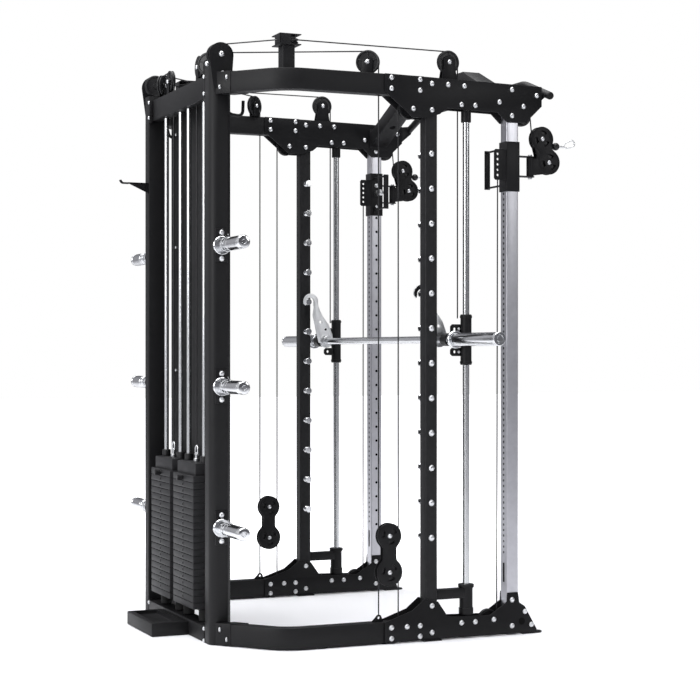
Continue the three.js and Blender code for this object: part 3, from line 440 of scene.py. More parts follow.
def finish_of(name, dark, light, rough, metallic=0.0, coat=0.0, specular=0.5, grain_scale=900, cloud_scale=6,
              bump=0.1, stretch=None, line_scale=400, rub=None):
    """A finish: two tones, a span of roughness, a grain or drawn lines in relief, and rubbed edges."""
    material = bpy.data.materials.new(name)
    material.use_nodes = True
    nodes, link = material.node_tree.nodes, material.node_tree.links.new
    shader = nodes["Principled BSDF"]
    shader.inputs["Metallic"].default_value = metallic
    shader.inputs["Coat Weight"].default_value = coat
    shader.inputs["Specular IOR Level"].default_value = specular
    grain = nodes.new("ShaderNodeGroup")
    grain.node_tree = GRAIN
    grain.inputs["Grain Scale"].default_value = grain_scale
    grain.inputs["Cloud Scale"].default_value = cloud_scale
    relief = grain.outputs["Grain"]
    shade = grain.outputs["Cloud"]
    if stretch:
        lines = nodes.new("ShaderNodeGroup")
        lines.node_tree = LINES
        lines.inputs["Stretch"].default_value = stretch
        lines.inputs["Scale"].default_value = line_scale
        relief = lines.outputs["Lines"]
    tone = nodes.new("ShaderNodeMix")
    tone.data_type = "RGBA"
    tone.inputs["A"].default_value = (*dark, 1)
    tone.inputs["B"].default_value = (*light, 1)
    link(shade, tone.inputs["Factor"])
    colour = tone.outputs["Result"]
    if rub:
        wear = nodes.new("ShaderNodeGroup")
        wear.node_tree = RUB
        worn = nodes.new("ShaderNodeMix")
        worn.data_type = "RGBA"
        worn.inputs["B"].default_value = (*rub, 1)
        link(wear.outputs["Mask"], worn.inputs["Factor"])
        link(colour, worn.inputs["A"])
        colour = worn.outputs["Result"]
    link(colour, shader.inputs["Base Color"])
    gloss = nodes.new("ShaderNodeMapRange")
    gloss.inputs["To Min"].default_value = rough[0]
    gloss.inputs["To Max"].default_value = rough[1]
    link(relief if stretch else shade, gloss.inputs["Value"])
    link(gloss.outputs["Result"], shader.inputs["Roughness"])
    height = nodes.new("ShaderNodeBump")
    height.inputs["Strength"].default_value = bump
    height.inputs["Distance"].default_value = 0.0004
    link(relief, height.inputs["Height"])
    link(height.outputs["Normal"], shader.inputs["Normal"])
    return material


ALONG_Z = (1, 1, 0.01)
ALONG_X = (0.01, 1, 1)
POWDER = finish_of("black_powder_coat", (0.0045, 0.0045, 0.005), (0.008, 0.008, 0.009), (0.36, 0.5), specular=0.2,
                   bump=0.2, rub=(0.03, 0.03, 0.032))
TEXTURED = finish_of("textured_powder_coat", (0.0055, 0.0055, 0.006), (0.010, 0.010, 0.011), (0.42, 0.56),
                     specular=0.22, grain_scale=700, bump=0.28, rub=(0.03, 0.03, 0.032))
IRON = finish_of("painted_iron", (0.008, 0.008, 0.009), (0.015, 0.015, 0.017), (0.45, 0.62), specular=0.3,
                 grain_scale=520, cloud_scale=14, bump=0.4, rub=(0.045, 0.045, 0.047))
CHROME = finish_of("ground_steel", (0.55, 0.56, 0.57), (0.66, 0.67, 0.68), (0.2, 0.3), metallic=1, bump=0.002,
                   cloud_scale=12)
CHROME_BAR = finish_of("turned_chrome", (0.68, 0.69, 0.71), (0.8, 0.81, 0.82), (0.1, 0.2), metallic=1, bump=0.02,
                       stretch=ALONG_X, line_scale=900)
GALVANISED = finish_of("galvanised_steel", (0.46, 0.46, 0.49), (0.62, 0.62, 0.66), (0.26, 0.4), metallic=1,
                       cloud_scale=30, bump=0.05, stretch=ALONG_Z, line_scale=500)
ZINC = finish_of("zinc_plated_bolt", (0.66, 0.67, 0.69), (0.82, 0.83, 0.84), (0.24, 0.36), metallic=1,
                 cloud_scale=80, bump=0.06)
SATIN = finish_of("satin_steel", (0.60, 0.61, 0.62), (0.74, 0.75, 0.76), (0.24, 0.38), metallic=1, cloud_scale=25,
                  bump=0.06, stretch=(1, 1, 0.05), line_scale=500)
NICKEL = finish_of("brushed_nickel", (0.72, 0.73, 0.74), (0.86, 0.87, 0.88), (0.34, 0.48), metallic=0.8, cloud_scale=25,
                   bump=0.05, stretch=(1, 1, 0.05), line_scale=500)
NYLON = finish_of("black_nylon", (0.007, 0.007, 0.008), (0.014, 0.014, 0.015), (0.3, 0.44), specular=0.35,
                  grain_scale=1200, bump=0.1)
JACKET = finish_of("cable_jacket", (0.009, 0.009, 0.010), (0.017, 0.017, 0.019), (0.25, 0.4), specular=0.3,
                   grain_scale=1500, bump=0.05)
RUBBER = finish_of("rubber_foot", (0.007, 0.007, 0.007), (0.014, 0.014, 0.014), (0.6, 0.8), specular=0.2,
                   grain_scale=800, bump=0.3)
# Near-black finish for painted shade: discs and sheets set where holes and openings show only shade.
PAINTED_SHADE = finish_of("painted_shade", (0.003, 0.003, 0.003), (0.006, 0.006, 0.006), (0.7, 0.9), specular=0.1, bump=0.1)

# ---- side frames -----------------------------------------------------------------------
TOP_OUTLINE = [(-193, TOP), (468, TOP - 10), (468, 2014), (397, 1947), (316, 1946), (278, 1981), (62, 1985), (33, 1961),
               (-24, 1943), (-80, 1943), (-193, 2034)]
TOP_BOLTS = [(-166, 2085), (-166, 2045), (-49, 2085), (-49, 2045), (0, 2073), (67, 2073), (135, 2072), (-77, 1976),
             (0, 1975), (123, 2002), (181, 2002), (284, 2021), (338, 2071), (338, 1972), (388, 2010), (445, 2055)]
BOTTOM_OUTLINE = [(-193, 5), (-193, 80), (-80, 118), (-30, 158), (25, 145), (66, 87), (244, 81), (316, 127), (318, 161),
                  (364, 161), (370, 122), (394, 106), (445, 17), (445, 5)]
BOTTOM_BOLTS = [(-166, 60), (-166, 20), (-103, 60), (-49, 60), (-49, 21), (0, 131), (0, 32), (123, 60), (181, 60),
                (260, 64), (338, 134), (338, 35), (394, 86), (422, 35)]


def rounded_square(x, reach, side, radius):
    far = side / 2 - radius
    points = []
    for a, b, turn in ((far, far, 0), (-far, far, 90), (-far, -far, 180), (far, -far, 270)):
        points += arc((x + a, reach + b), radius, turn, turn + 90, 5)
    return points


def square_tube(x, reach, z0, z1, side=TUBE, radius=6, bevel=0):
    return plan(rounded_square(x, reach, side, radius), z0, z1, bevel)


def wheel(x, reach, z, radius=WHEEL):
    """A grooved pulley with a recessed web and a raised hub."""
    half, web, rim = WHEEL_HALF, 4.5, radius - 7
    groove = TURN - CABLE - 0.4
    side = [(half, 0), (half, 11), (web, 13), (web, rim - 2), (half - 0.6, rim), (half, radius - 3),
            (half - 1.5, radius), (CABLE + 1.2, radius - 0.6), (1.4, groove + 0.5), (0, groove)]
    profile = side + [(-a, r) for a, r in reversed(side[:-1])]
    return lathe("x", (reach, z), [(x + a, r) for a, r in profile], 48)


def wheel_ribs(x, reach, z, count=5):
    """Ribs across a pulley's web, from the hub to the rim."""
    ribs = []
    for i in range(count):
        rib = block(x - 7, x + 7, reach - 2.2, reach + 2.2, z + 10, z + WHEEL - 8, 0.8)
        spoke = Matrix.Rotation(2 * math.pi * i / count, 3, "X")
        bmesh.ops.rotate(rib, verts=rib.verts, cent=(x, reach, z), matrix=spoke)
        ribs.append(rib)
    return ribs


def kidney(turn, centre, x, inside=19, outside=32, spread=26):
    """A curved slot round an axle, as a cutting shape."""
    low, high = turn - spread, turn + spread
    outline = arc(centre, outside, low, high, 8) + arc(centre, inside, high, low, 8)
    return plate(outline, x - 25, x + 25, 0)


def waisted(low, high, low_radius, high_radius, waist, steps=56):
    """The outline of two discs joined by a waist, from its half-width at each place between them."""
    span = Vector(high) - Vector(low)
    length = span.length
    along, across = span / length, Vector((span.y, -span.x)) / length
    right, left = [], []
    for i in range(steps + 1):
        reach_out = (length + low_radius + high_radius) / 2
        t = (length + high_radius - low_radius) / 2 - reach_out * math.cos(math.pi * i / steps)
        under = math.sqrt(max(low_radius ** 2 - t ** 2, 0))
        over = math.sqrt(max(high_radius ** 2 - (t - length) ** 2, 0))
        neck = waist if 0 < t < length else 0
        half = max((under ** 6 + over ** 6 + neck ** 6) ** (1 / 6), 0.5)
        middle_point = Vector(low) + along * t
        right.append(tuple(middle_point + across * half))
        left.append(tuple(middle_point - across * half))
    return right + left[::-1]


def axle(x, reach, z, half=BOLT):
    """A pulley's axle with a bolt head at each end."""
    place = (reach, z)
    return [rod("x", place, 7, x - half, x + half, 0.5, 20), dome("x", place, x + half),
            dome("x", place, x - half, out=-1)]


def pulley(x, reach, z):
    return [wheel(x, reach, z)] + wheel_ribs(x, reach, z)


def cheek_plate(outline, x, way, thickness=CHEEK_PLATE, bevel=1):
    """A pulley's side plate, standing out from x on the side that way gives."""
    return plate(outline, min(x, x + way * thickness), max(x, x + way * thickness), bevel)


def side_frame(name, side):
    """The plates, tubes, pegs, guide rod and shut-in pulleys of one side."""
    bolt_face = OUTER_PLATE + PLATE
    faces = {"inner": (INNER_PLATE, INNER_PLATE + PLATE), "outer": (OUTER_PLATE, OUTER_PLATE + PLATE)}
    for level, outline, bolts in (("top", TOP_OUTLINE, TOP_BOLTS), ("bottom", BOTTOM_OUTLINE, BOTTOM_BOLTS)):
        for face, (x0, x1) in faces.items():
            stands = (f"{name}_{level}_plates",) if face == "outer" else ()
            make(f"{name}_{level}_{face}_plate", [plate(outline, x0, x1, 1.4)], POWDER, "frame", side, stands)
        heads = []
        if level == "bottom":
            # A rim and a near-black disc on the plate's face: painted shade standing in for an open port.
            port = (380, 50)
            port_shade = [ring("x", port, 13.5, 11, bolt_face - 0.2, bolt_face + 0.6, 0.2),
                     rod("x", port, 11.2, bolt_face, bolt_face + 0.3, 0.1, 32)]
            make(f"{name}_plate_port_shade", port_shade, PAINTED_SHADE, "frame", side)
        for reach, z in bolts:
            heads.append(dome("x", (reach, z), bolt_face, *PLATE_BOLT))
            heads.append(dome("x", (reach, z), INNER_PLATE, *PLATE_BOLT, out=-1))
        make(f"{name}_{level}_plate_bolts", heads, ZINC, "frame", side)
    make(f"{name}_main_tube", [square_tube(FRAME_X, 0, 5, TOP - 5)], TEXTURED, "frame", side,
         (f"{name}_main_upright",))
    studs, heads = [], []
    for i in range(PEGS):
        z = PEG_LOW + PEG_PITCH * i
        heads.append(dome("x", (0, z), OUTER, 11.5, 8))
        studs.append(lathe("x", (0, z), [
            (INNER, 0), (INNER, 11), (INNER - 3, 11), (INNER - 4, 7.5), (INNER - 24, 8), (INNER - 34, 12),
            (INNER - 38, 14), (INNER - 39.6, 13), (INNER - 39.8, 0)], 28))
    make(f"{name}_catch_pegs", studs, CHROME_BAR, "frame", side)
    make(f"{name}_peg_bolts", heads, ZINC, "frame", side)
    tube = square_tube(FRAME_X, COLUMN, 5, TOP - 12, radius=4)
    column = make(f"{name}_column_tube", [tube], GALVANISED, "frame", side, (f"{name}_cable_column",))
    back, inside = COLUMN - TUBE / 2, INNER
    rear = [(FRAME_X, 312 + 21 * i) for i in range(74)]
    inner = [(COLUMN, 300 + 62.5 * i) for i in range(26)]
    slot = block(FRAME_X - 7, FRAME_X + 7, back - 5, back + 8, 198, 272, 0)
    holes = [rod("r", place, 5.6, back - 5, back + 5, 0.1, 14) for place in rear]
    holes += [rod("x", place, 6, inside - 5, inside + 6, 0.1, 14) for place in inner] + [slot]
    cut(column, holes, side)
    # Near-black discs closing the holes and slot a little way in: painted shade standing in for the dark inside the
    # hollow tube.
    hole_shade = [rod("r", place, 5.7, back + 1.6, back + 2.2, 0.1, 14) for place in rear]
    hole_shade += [rod("x", place, 6.1, inside + 1.6, inside + 2.2, 0.1, 14) for place in inner]
    hole_shade.append(block(FRAME_X - 6.9, FRAME_X + 6.9, back + 1.6, back + 2.2, 198.1, 271.9, 0))
    make(f"{name}_column_hole_shade", hole_shade, PAINTED_SHADE, "frame", side)
    spot = (FRAME_X, ROD)
    make(f"{name}_guide_rod_bar", [rod("z", spot, ROD_RADIUS, 140, 1990)], CHROME, "frame", side,
         (f"{name}_guide_rod",))
    make(f"{name}_upper_rod_socket", [rod("z", spot, 19, 1940, 1984, 1.2)], POWDER, "frame", side)
    socket = [ring("z", spot, 25, 12.9, 87, 199, 1), ring("z", spot, 30, 13, 188, 200.5, 1.4),
              ring("z", spot, 27.5, 13, 87, 112, 1),
              block(FRAME_X - 20, FRAME_X + 20, TUBE / 2 + GAP, ROD - 14, 150, 186, 2)]
    make(f"{name}_lower_rod_socket", socket, POWDER, "frame", side, (f"{name}_rod_socket",))
    hidden = []
    high, low = TOP_LINE - TURN, BOTTOM_LINE + TURN
    for reach, z in ((BACK_PULLEY, high), (DROP - TURN, high), (BACK_PULLEY, low), (RISER - TURN, low)):
        hidden += [wheel(FRAME_X, reach, z, 39), rod("x", (reach, z), 7, INNER_PLATE + PLATE, OUTER_PLATE, 0.4, 16)]
    make(f"{name}_plate_pulleys", hidden, NYLON, "frame", side)
    foot = plan([(INNER_PLATE, 385), (bolt_face, 385), (bolt_face, 450)]
                + arc((FRAME_X, 450), 30, 0, 180, 14)[1:] + [(INNER_PLATE, 450)], 0, 5, 1.2)
    heel = block(INNER_PLATE - 8, bolt_face + 8, -38, 38, 0, 5, 1.5)
    make(f"{name}_foot_plates", [foot, heel], POWDER, "frame", side)
    outline = [(BRIDGE - 38, TOP - 40), (BRIDGE + 38, TOP - 40)] + arc((BRIDGE, BRIDGE_Z), 24, -20, 200, 20)
    cheeks = [cheek_plate(outline, LINE_X + way * 10, way) for way in (-1, 1)]
    cheeks.append(block(LINE_X - 12, LINE_X + 12, BRIDGE - 30, BRIDGE - 6, TOP - 38, TOP - 22, 1))
    make(f"{name}_bridge_bracket", cheeks, POWDER, "frame", side)
    make(f"{name}_bridge_axle", axle(LINE_X, BRIDGE, BRIDGE_Z, 14), ZINC, "frame", side)
    make(f"{name}_bridge_wheel", pulley(LINE_X, BRIDGE, BRIDGE_Z), NYLON, f"{name}_bridge_pulley", side,
         (f"{name}_bridge_pulley",))


# ---- rails -----------------------------------------------------------------------------
RAIL_TURN = 50
POST_WRAP = 42


def rail_outline(start, end_x):
    """The rail's plan: straight back along the side, round the bend and in to the tower."""
    centre = (FRAME_X - BEND, BEND_REACH)
    outer = arc(centre, BEND + RAIL_HALF, 0, -RAIL_TURN, 14)
    inner = arc(centre, BEND - RAIL_HALF, 0, -RAIL_TURN, 14)
    heading = math.radians(-90 - RAIL_TURN)

    def onward(point):
        run = (end_x - point[0]) / math.cos(heading)
        return (end_x, point[1] + run * math.sin(heading))

    ends = [onward(outer[-1]), onward(inner[-1])]
    return [(FRAME_X + RAIL_HALF, start)] + outer + ends + inner[::-1] + [(FRAME_X - RAIL_HALF, start)]


def rail_end_plan(tower_side, length=62, wall=2.5):
    """The socket round a rail's last stretch, a little wider than the rail, where it meets the tower."""
    heading = math.radians(-90 - RAIL_TURN)
    ahead = (math.cos(heading), math.sin(heading))
    points = []
    for way in (1, -1):
        radius = BEND + way * (RAIL_HALF + wall)
        x, reach = arc((FRAME_X - BEND, BEND_REACH), radius, -RAIL_TURN, -RAIL_TURN, 1)[0]
        run = (tower_side - x) / ahead[0]
        near = (x + ahead[0] * (run - length), reach + ahead[1] * (run - length))
        far = (tower_side, reach + ahead[1] * run)
        points += [near, far] if way == 1 else [far, near]
    return points


def rails(name, side):
    """The top and base rails of one side, with the post and pulleys that stand on the top one."""
    tower_side = TOWER_X + TOWER_HALF + GAP
    top_plan = plan(rail_outline(-25.5, tower_side + 5.3), TOP - RAIL_HEIGHT, TOP, 5)
    top = make(f"{name}_top_rail_tube", [top_plan], TEXTURED, "frame", side, (f"{name}_top_rail",))
    cut(top, [block(FRAME_X - 8, FRAME_X + 8, BLOCK - TURN - 12, BLOCK - TURN + 12, TOP - 90, TOP + 10, 0)], side)
    sleeve_plan = rail_end_plan(tower_side)
    ends = [plan(sleeve_plan, TOP - 80, TOP + 1.5, 1), plan(sleeve_plan, 2, 83, 1)]
    make(f"{name}_rail_end_sockets", ends, POWDER, "frame", side)
    outer_near, outer_far = sleeve_plan[0], sleeve_plan[1]
    heads = []
    for share, z in ((0.25, 26), (0.72, 60), (0.25, TOP - 22), (0.72, TOP - 56)):
        x, reach = (outer_near[i] + (outer_far[i] - outer_near[i]) * share for i in (0, 1))
        heads.append(turn_about(dome("x", (reach, z), x, *PLATE_BOLT), x, reach, RAIL_TURN))
    make(f"{name}_rail_end_bolts", heads, ZINC, "frame", side)
    base_plan = plan(rail_outline(-137, tower_side), 3, 3 + RAIL_HEIGHT, 5)
    make(f"{name}_base_rail_tube", [base_plan], TEXTURED, "frame", side, (f"{name}_base_rail",))
    feet = [rod("z", (FRAME_X, reach), 20, 0, 4.5, 1) for reach in (-180, -430)]
    make(f"{name}_rail_feet", feet, RUBBER, "frame", side)
    outline = [(-234, 80.5), (-187, 80.5)] + arc((BLOCK - TURN, 96), 11, 20, 160, 8)
    lug = make(f"{name}_anchor_eyelet", [plate(outline, FRAME_X - 3.5, FRAME_X + 3.5, 1.2)], POWDER, "frame", side)
    cut(lug, [rod("x", (BLOCK - TURN, 95), 5, FRAME_X - 10, FRAME_X + 10, 0.1, 20)], side)
    post = [square_tube(POST_X, POST, TOP - 2, POST_LINE - 18, 48, 4),
            block(POST_X - 42, POST_X + 42, POST - 42, POST + 42, POST_LINE - 18, POST_LINE - 14, 1.2),
            block(POST_X - 42, POST_X + 42, POST - 42, POST + 42, POST_LINE + 18, POST_LINE + 22, 1.2)]
    low, high = POST_LINE - 14.5, POST_LINE + 18.5
    post += [block(POST_X - 10, POST_X + 42, POST - 42, POST - 38, low, high, 0.6),
             block(POST_X + 38, POST_X + 42, POST - 41, POST + 2, low, high, 0.6)]
    make(f"{name}_corner_post", post, TEXTURED, "frame", side)
    corner = wheel(0, 0, 0, 43)
    bmesh.ops.rotate(corner, verts=corner.verts, cent=(0, 0, 0), matrix=Matrix.Rotation(math.pi / 2, 3, "Y"))
    bmesh.ops.translate(corner, verts=corner.verts, vec=(POST_X, POST, POST_LINE))
    make(f"{name}_corner_wheel", [corner], NYLON, "frame", side)
    make(f"{name}_corner_bolt", [dome("z", (POST_X, POST), POST_LINE - 18, 8, 6, out=-1)], ZINC, "frame", side)
    rail_pulley(name, side)


def rail_pulley(name, side):
    """The pulley that stands askew on the top rail and turns the stack's cable down to the block."""
    aim = (math.sin(RAIL_PULLEY_TURN), math.cos(RAIL_PULLEY_TURN))
    x, reach = FRAME_X - TURN * aim[0], BLOCK - TURN - TURN * aim[1]
    degrees = -math.degrees(RAIL_PULLEY_TURN)
    outline = [(reach - 18, TOP - 1), (reach + 18, TOP - 1)] + arc((reach, RAIL_PULLEY_Z), 20, -10, 190, 14)
    cheeks = [cheek_plate(outline, x + way * CHEEK, way) for way in (-1, 1)]
    cheeks.append(block(x - 13, x + 13, reach - 17, reach + 17, TOP - 1, TOP + 3, 1))
    make(f"{name}_rail_bracket", [turn_about(c, x, reach, degrees) for c in cheeks], POWDER, "frame", side)
    bolts = [turn_about(b, x, reach, degrees) for b in axle(x, reach, RAIL_PULLEY_Z)]
    make(f"{name}_rail_axle", bolts, ZINC, "frame", side)
    parts = [turn_about(p, x, reach, degrees) for p in pulley(x, reach, RAIL_PULLEY_Z)]
    make(f"{name}_rail_wheel", parts, NYLON, f"{name}_rail_pulley", side, (f"{name}_rail_pulley",))


# ---- rear tower ------------------------------------------------------------------------


def rear_tower(name, side):
    """One rear upright with its storage posts, top pulley and hangers."""
    x0, x1 = TOWER_X - TOWER_HALF, TOWER_X + TOWER_HALF
    back, front = TOWER - 40, TOWER + 40
    section = [(x0, front)] + arc((x0 + 5, back + 5), 5, 180, 270, 4) + arc((x1 - 30, back + 30), 30, -90, 0, 12)
    section += [(x1, front - 14), (x1 - 14, front)]
    make(f"{name}_tower_tube", [plan(section, 0, 2120, 1.5)], TEXTURED, "frame", side, (f"{name}_rear_upright",))
    seats, posts, bolts, clips = [], [], [], []
    for z in STORAGE:
        seats.append(block(x1 - 0.5, x1 + 6, TOWER - 24, TOWER + 24, z - 62, z + 62, 2))
        posts.append(lathe("x", (TOWER, z), [
            (x1 + 6, 0), (x1 + 6, 33), (x1 + 7.5, 34), (x1 + 13, 34), (x1 + 15, 32), (x1 + 15, 22.5),
            (x1 + 96, 22.5), (x1 + 98, 24.5), (x1 + 112, 24.5), (x1 + 113, 23), (x1 + 118, 23), (x1 + 119, 24.5),
            (x1 + 226, 24.5), (x1 + 227, 23), (x1 + 231, 23), (x1 + 232, 24.5), (x1 + 244, 24), (x1 + 248.5, 21),
            (x1 + 250, 15), (x1 + 250, 9), (x1 + 247, 7), (x1 + 247, 0)], 44))
        bolts += [dome("x", (TOWER, z + way * 48), x1 + 6, *PLATE_BOLT) for way in (-1, 1)]
        clip_x = x1 + 70
        loop = [(clip_x, TOWER + across, z + up) for across, up in (
            (0, 27), (-20, 20), (-27, 0), (-20, -20), (0, -27), (20, -20), (27, 0), (20, 20))]
        loop += [(clip_x + 4, TOWER + 2, z + 30), (clip_x + 18, TOWER - 4, z + 36)]
        clips.append(pipe(rounded_path(loop, 18, 4), 1.6, 8))
    make(f"{name}_storage_seats", seats, POWDER, "frame", side)
    make(f"{name}_storage_posts", posts, CHROME_BAR, "frame", side)
    make(f"{name}_spring_clips", clips, SATIN, "frame", side)
    upper = [(TOWER - 30, 2040), (TOWER + 38, 2040)] + arc((TOWER, BRIDGE_Z), 47, -10, 190, 22)
    make(f"{name}_tower_cheeks", [plate(upper, x1, x1 + 5, 1)], POWDER, "frame", side)
    axle_place = (TOWER, BRIDGE_Z + 4)
    bolts += [dome("x", place, x1 + 5, *PLATE_BOLT) for place in ((TOWER + 4, 2095), (TOWER + 26, 2057))]
    bolts.append(dome("x", axle_place, x1 + 5, 10.5, 7))
    make(f"{name}_tower_bolts", bolts, ZINC, "frame", side)
    top_wheel = [wheel(TOWER_X, *axle_place), rod("x", axle_place, 7, TOWER_X, x1 + 1)]
    make(f"{name}_tower_wheel", top_wheel, NYLON, "frame", side)
    hook_x = x0 + 8
    loop = rounded_path([(hook_x, front + 3, 1990), (hook_x, front + 12, 1958), (hook_x, front + 66, 1952),
                         (hook_x, front + 68, 2010)], 22, 8)
    if side == 1:
        high, near, far = 1765, back + 0.5, back - 86
        gusset = plate([(near, high), (near, high - 43), (far, high - 4), (far, high)], x0, x0 + 4, 0.8)
        strap = block(x0, x0 + 26, far, near, high - 4, high, 0.8)
        prongs = []
        for x in (x0 + 5, x0 + 21):
            path = [(x, back - 78, high - 3), (x, back - 108, high - 3), (x, back - 116, high + 9)]
            prongs.append(pipe(rounded_path(path, 12, 6), 3, 14))
        make("right_belt_hook", [gusset, strap] + prongs, POWDER, "frame", side)
    hanger = [pipe(loop, 6, 16), block(x0, x0 + 14, front, front + 4, 1965, 2010, 1)]
    make(f"{name}_strap_hanger", hanger, POWDER, "frame", side)
    for level, low, high in (("head", 2030, 2092), ("foot", 8, 52)):
        flange = block(x0 - 14, x0 - GAP, TOWER - 40, TOWER - 26, low - 20 if level == "head" else 2, high + 12, 1)
        heads = [dome("r", (x0 - 8, z), TOWER - 40, 7.5, 6, out=-1) for z in (low, high)]
        make(f"{name}_{level}_flange", [flange], TEXTURED, "frame", side)
        make(f"{name}_{level}_flange_bolts", heads, ZINC, "frame", side)


def tower():
    """The beams, step and panel between the two rear uprights."""
    inside = TOWER_X - TOWER_HALF - GAP
    back, front = TOWER - 25, TOWER + 25
    beams = {"head": (back, 2018, 2102, "tower_head_beam"), "foot": (back - 15, 0, 60, "tower_base")}
    for level, (rear, low, high, node) in beams.items():
        make(f"tower_{level}_tube", [block(-inside, inside, rear, front, low, high, 3)], TEXTURED, "frame", 1, (node,))
    tray = make("tower_step", [block(-168, 168, -934, back - 14, 0, 52, 4)], TEXTURED, "frame")
    cut(tray, [block(-150, 150, -912, back - 45, 38, 80, 3)])
    panel = front + 32.3
    make("tower_back_panel", [block(-inside, inside, panel, panel + 3, 62, 2102, 0.8)], TEXTURED, "frame", 1,
         ("tower_shroud",))
    heads = [dome("r", (x, z), panel, 6, 4, out=-1) for x in (-300, -146, 146, 300) for z in (500, 1000, 1500, 1960)]
    make("panel_screws", heads, ZINC, "frame")


def stack(name, side):
    """One weight stack, its guides and pin, and the two pulleys above it."""
    pulleys, cheeks, bolts = [], [], []
    for x, degrees, z in ((LIFT_X, 90, LIFT_Z), (TURN_X, -45, LIFT_Z - 3)):
        pulleys += [turn_about(p, x, TOWER, degrees) for p in pulley(x, TOWER, z)]
        outline = [(TOWER - 15, 2100), (TOWER + 15, 2100)] + arc((TOWER, z), 16, 0, 180, 12)
        for way in (-1, 1):
            cheeks.append(turn_about(cheek_plate(outline, x + way * CHEEK, way, 3, 0.8), x, TOWER, degrees))
        bolts += [turn_about(b, x, TOWER, degrees) for b in axle(x, TOWER, z, CHEEK + 3)]
    make(f"{name}_tower_pulleys", pulleys, NYLON, "frame", side)
    make(f"{name}_tower_brackets", cheeks, POWDER, "frame", side)
    make(f"{name}_tower_axles", bolts, ZINC, "frame", side)
    make(f"{name}_stack_guides", [rod("z", (x, TOWER), 9.5, 60.5, 2017.5) for x in STACK_RODS], CHROME, "frame", side,
         (f"{name}_stack_rods",))
    buffers = [ring("z", (x, TOWER), 22, 9.6, 61, 109.5, 3) for x in STACK_RODS]
    make(f"{name}_stack_buffers", buffers, RUBBER, "frame", side)
    half, deep = 125, 55
    plates = [block(STACK_X - half, STACK_X + half, TOWER - deep, TOWER + deep, STACK_BASE + i * WEIGHT + 0.4,
                    STACK_BASE + (i + 1) * WEIGHT - 0.4, 2.2) for i in range(RESTING)]
    make(f"{name}_weight_plates", plates, IRON, "frame", side, (f"{name}_resting_plates",))
    ports = []
    for i in range(1, RESTING):
        z = STACK_BASE + (i + 0.5) * WEIGHT
        ports.append(ring("r", (STACK_X, z), 8.5, 5.5, TOWER - deep, TOWER - deep - 0.8, 0.3, 20))
    make(f"{name}_pin_ports", ports, NYLON, "frame", side)
    # Near-black discs in the pin holes' mouths: painted shade standing in for the holes.
    dark = [rod("r", (STACK_X, STACK_BASE + (i + 0.5) * WEIGHT), 5.4, TOWER - deep + 2, TOWER - deep - 0.3, 0.1, 16)
            for i in range(1, RESTING)]
    make(f"{name}_pin_hole_shade", dark, PAINTED_SHADE, "frame", side)
    low = STACK_TOP + GAP
    body = f"{name}_lifted_weight"
    head = [block(STACK_X - half, STACK_X + half, TOWER - deep, TOWER + deep, low, low + WEIGHT, 2.2),
            block(STACK_X - 112, STACK_X + 112, TOWER - 42, TOWER + 42, low + WEIGHT - 1, low + WEIGHT + 46, 3)]
    make(f"{name}_top_plate", head, IRON, body, side, (f"{name}_lifted_plate",))
    collars = [ring("z", (x, TOWER), 17, 10.4, CROWN, CROWN + 26, 1.5) for x in STACK_RODS]
    make(f"{name}_stack_bushes", collars, NYLON, body, side)
    stem = [rod("z", (STACK_X, TOWER), 12, CROWN, CROWN + 12, 1), rod("z", (STACK_X, TOWER), 7, CROWN, CROWN + 34, 1)]
    bow = [(STACK_X + across, TOWER, CROWN + up) for across, up in ((-12, 26), (-14, 50), (0, 64), (14, 50), (12, 26))]
    stem += [pipe(rounded_path(bow, 10, 6), 3.6, 14),
             rod("x", (TOWER, CROWN + 28), 5, STACK_X - 17, STACK_X + 17, 0.6, 20)]
    make(f"{name}_lift_shackle", stem, CHROME, body, side)
    pin_z = low + WEIGHT / 2
    knob = TOWER - deep - 2
    pin = [rod("r", (STACK_X, pin_z), 4.6, TOWER - 21, knob - 2, 0.4, 20)]
    make(f"{name}_pin_shaft", pin, CHROME_BAR, f"{name}_selector_pin", side, (f"{name}_selector_pin",))
    handle = [rod("r", (STACK_X, pin_z), 11, knob, knob - 24, 2.4)]
    make(f"{name}_pin_knob", handle, NYLON, f"{name}_selector_pin", side)


# ---- bars across the top ---------------------------------------------------------------


def top_bars():
    """The arched cross member and the pull-up bar."""
    end = INNER_PLATE - GAP
    outline = [(-end, 2058), (-300, 2192), (300, 2192), (end, 2058)]
    outline += [(end, 1990), (285, 2136), (-285, 2136), (-end, 1990)]
    beam = prism([(x, 310, z) for x, z in outline], (0, 80, 0), 4)
    member = make("arched_cross_tube", [beam], TEXTURED, "frame", 1, ("cross_member",))
    cut(member, [rod("z", (x, 350), 13, 1980, 2260, 0.1, 28) for x in (-445, 445)])
    pads = [block(way * end, way * (end - 6), 306, 394, 1978, 2070, 1.5) for way in (-1, 1)]
    make("cross_tube_flanges", pads, POWDER, "frame")
    bar_z, bend, tip = 2130, 455, 655
    corners = ((-tip, bar_z - 72), (-bend, bar_z), (bend, bar_z), (tip, bar_z - 72))
    path = rounded_path([(x, PULL_UP, z) for x, z in corners], 140, 12)
    make("pull_up_tube", [pipe(path, 14.8, 32)], TEXTURED, "frame", 1, ("pull_up_bar",))
    caps = [pipe([(way * tip, PULL_UP, bar_z - 72), (way * (tip + 4), PULL_UP, bar_z - 73.5)], 13.5, 28)
            for way in (-1, 1)]
    make("pull_up_end_caps", caps, RUBBER, "frame")
    tab = [(466, 2020), (466, 2088), (PULL_UP, 2092), (PULL_UP + 8, 2060)]
    tabs = [plate(tab, way * INNER_PLATE, way * (INNER_PLATE + PLATE), 1) for way in (-1, 1)]
    make("pull_up_tabs", tabs, POWDER, "frame")


# ---- smith bar -------------------------------------------------------------------------


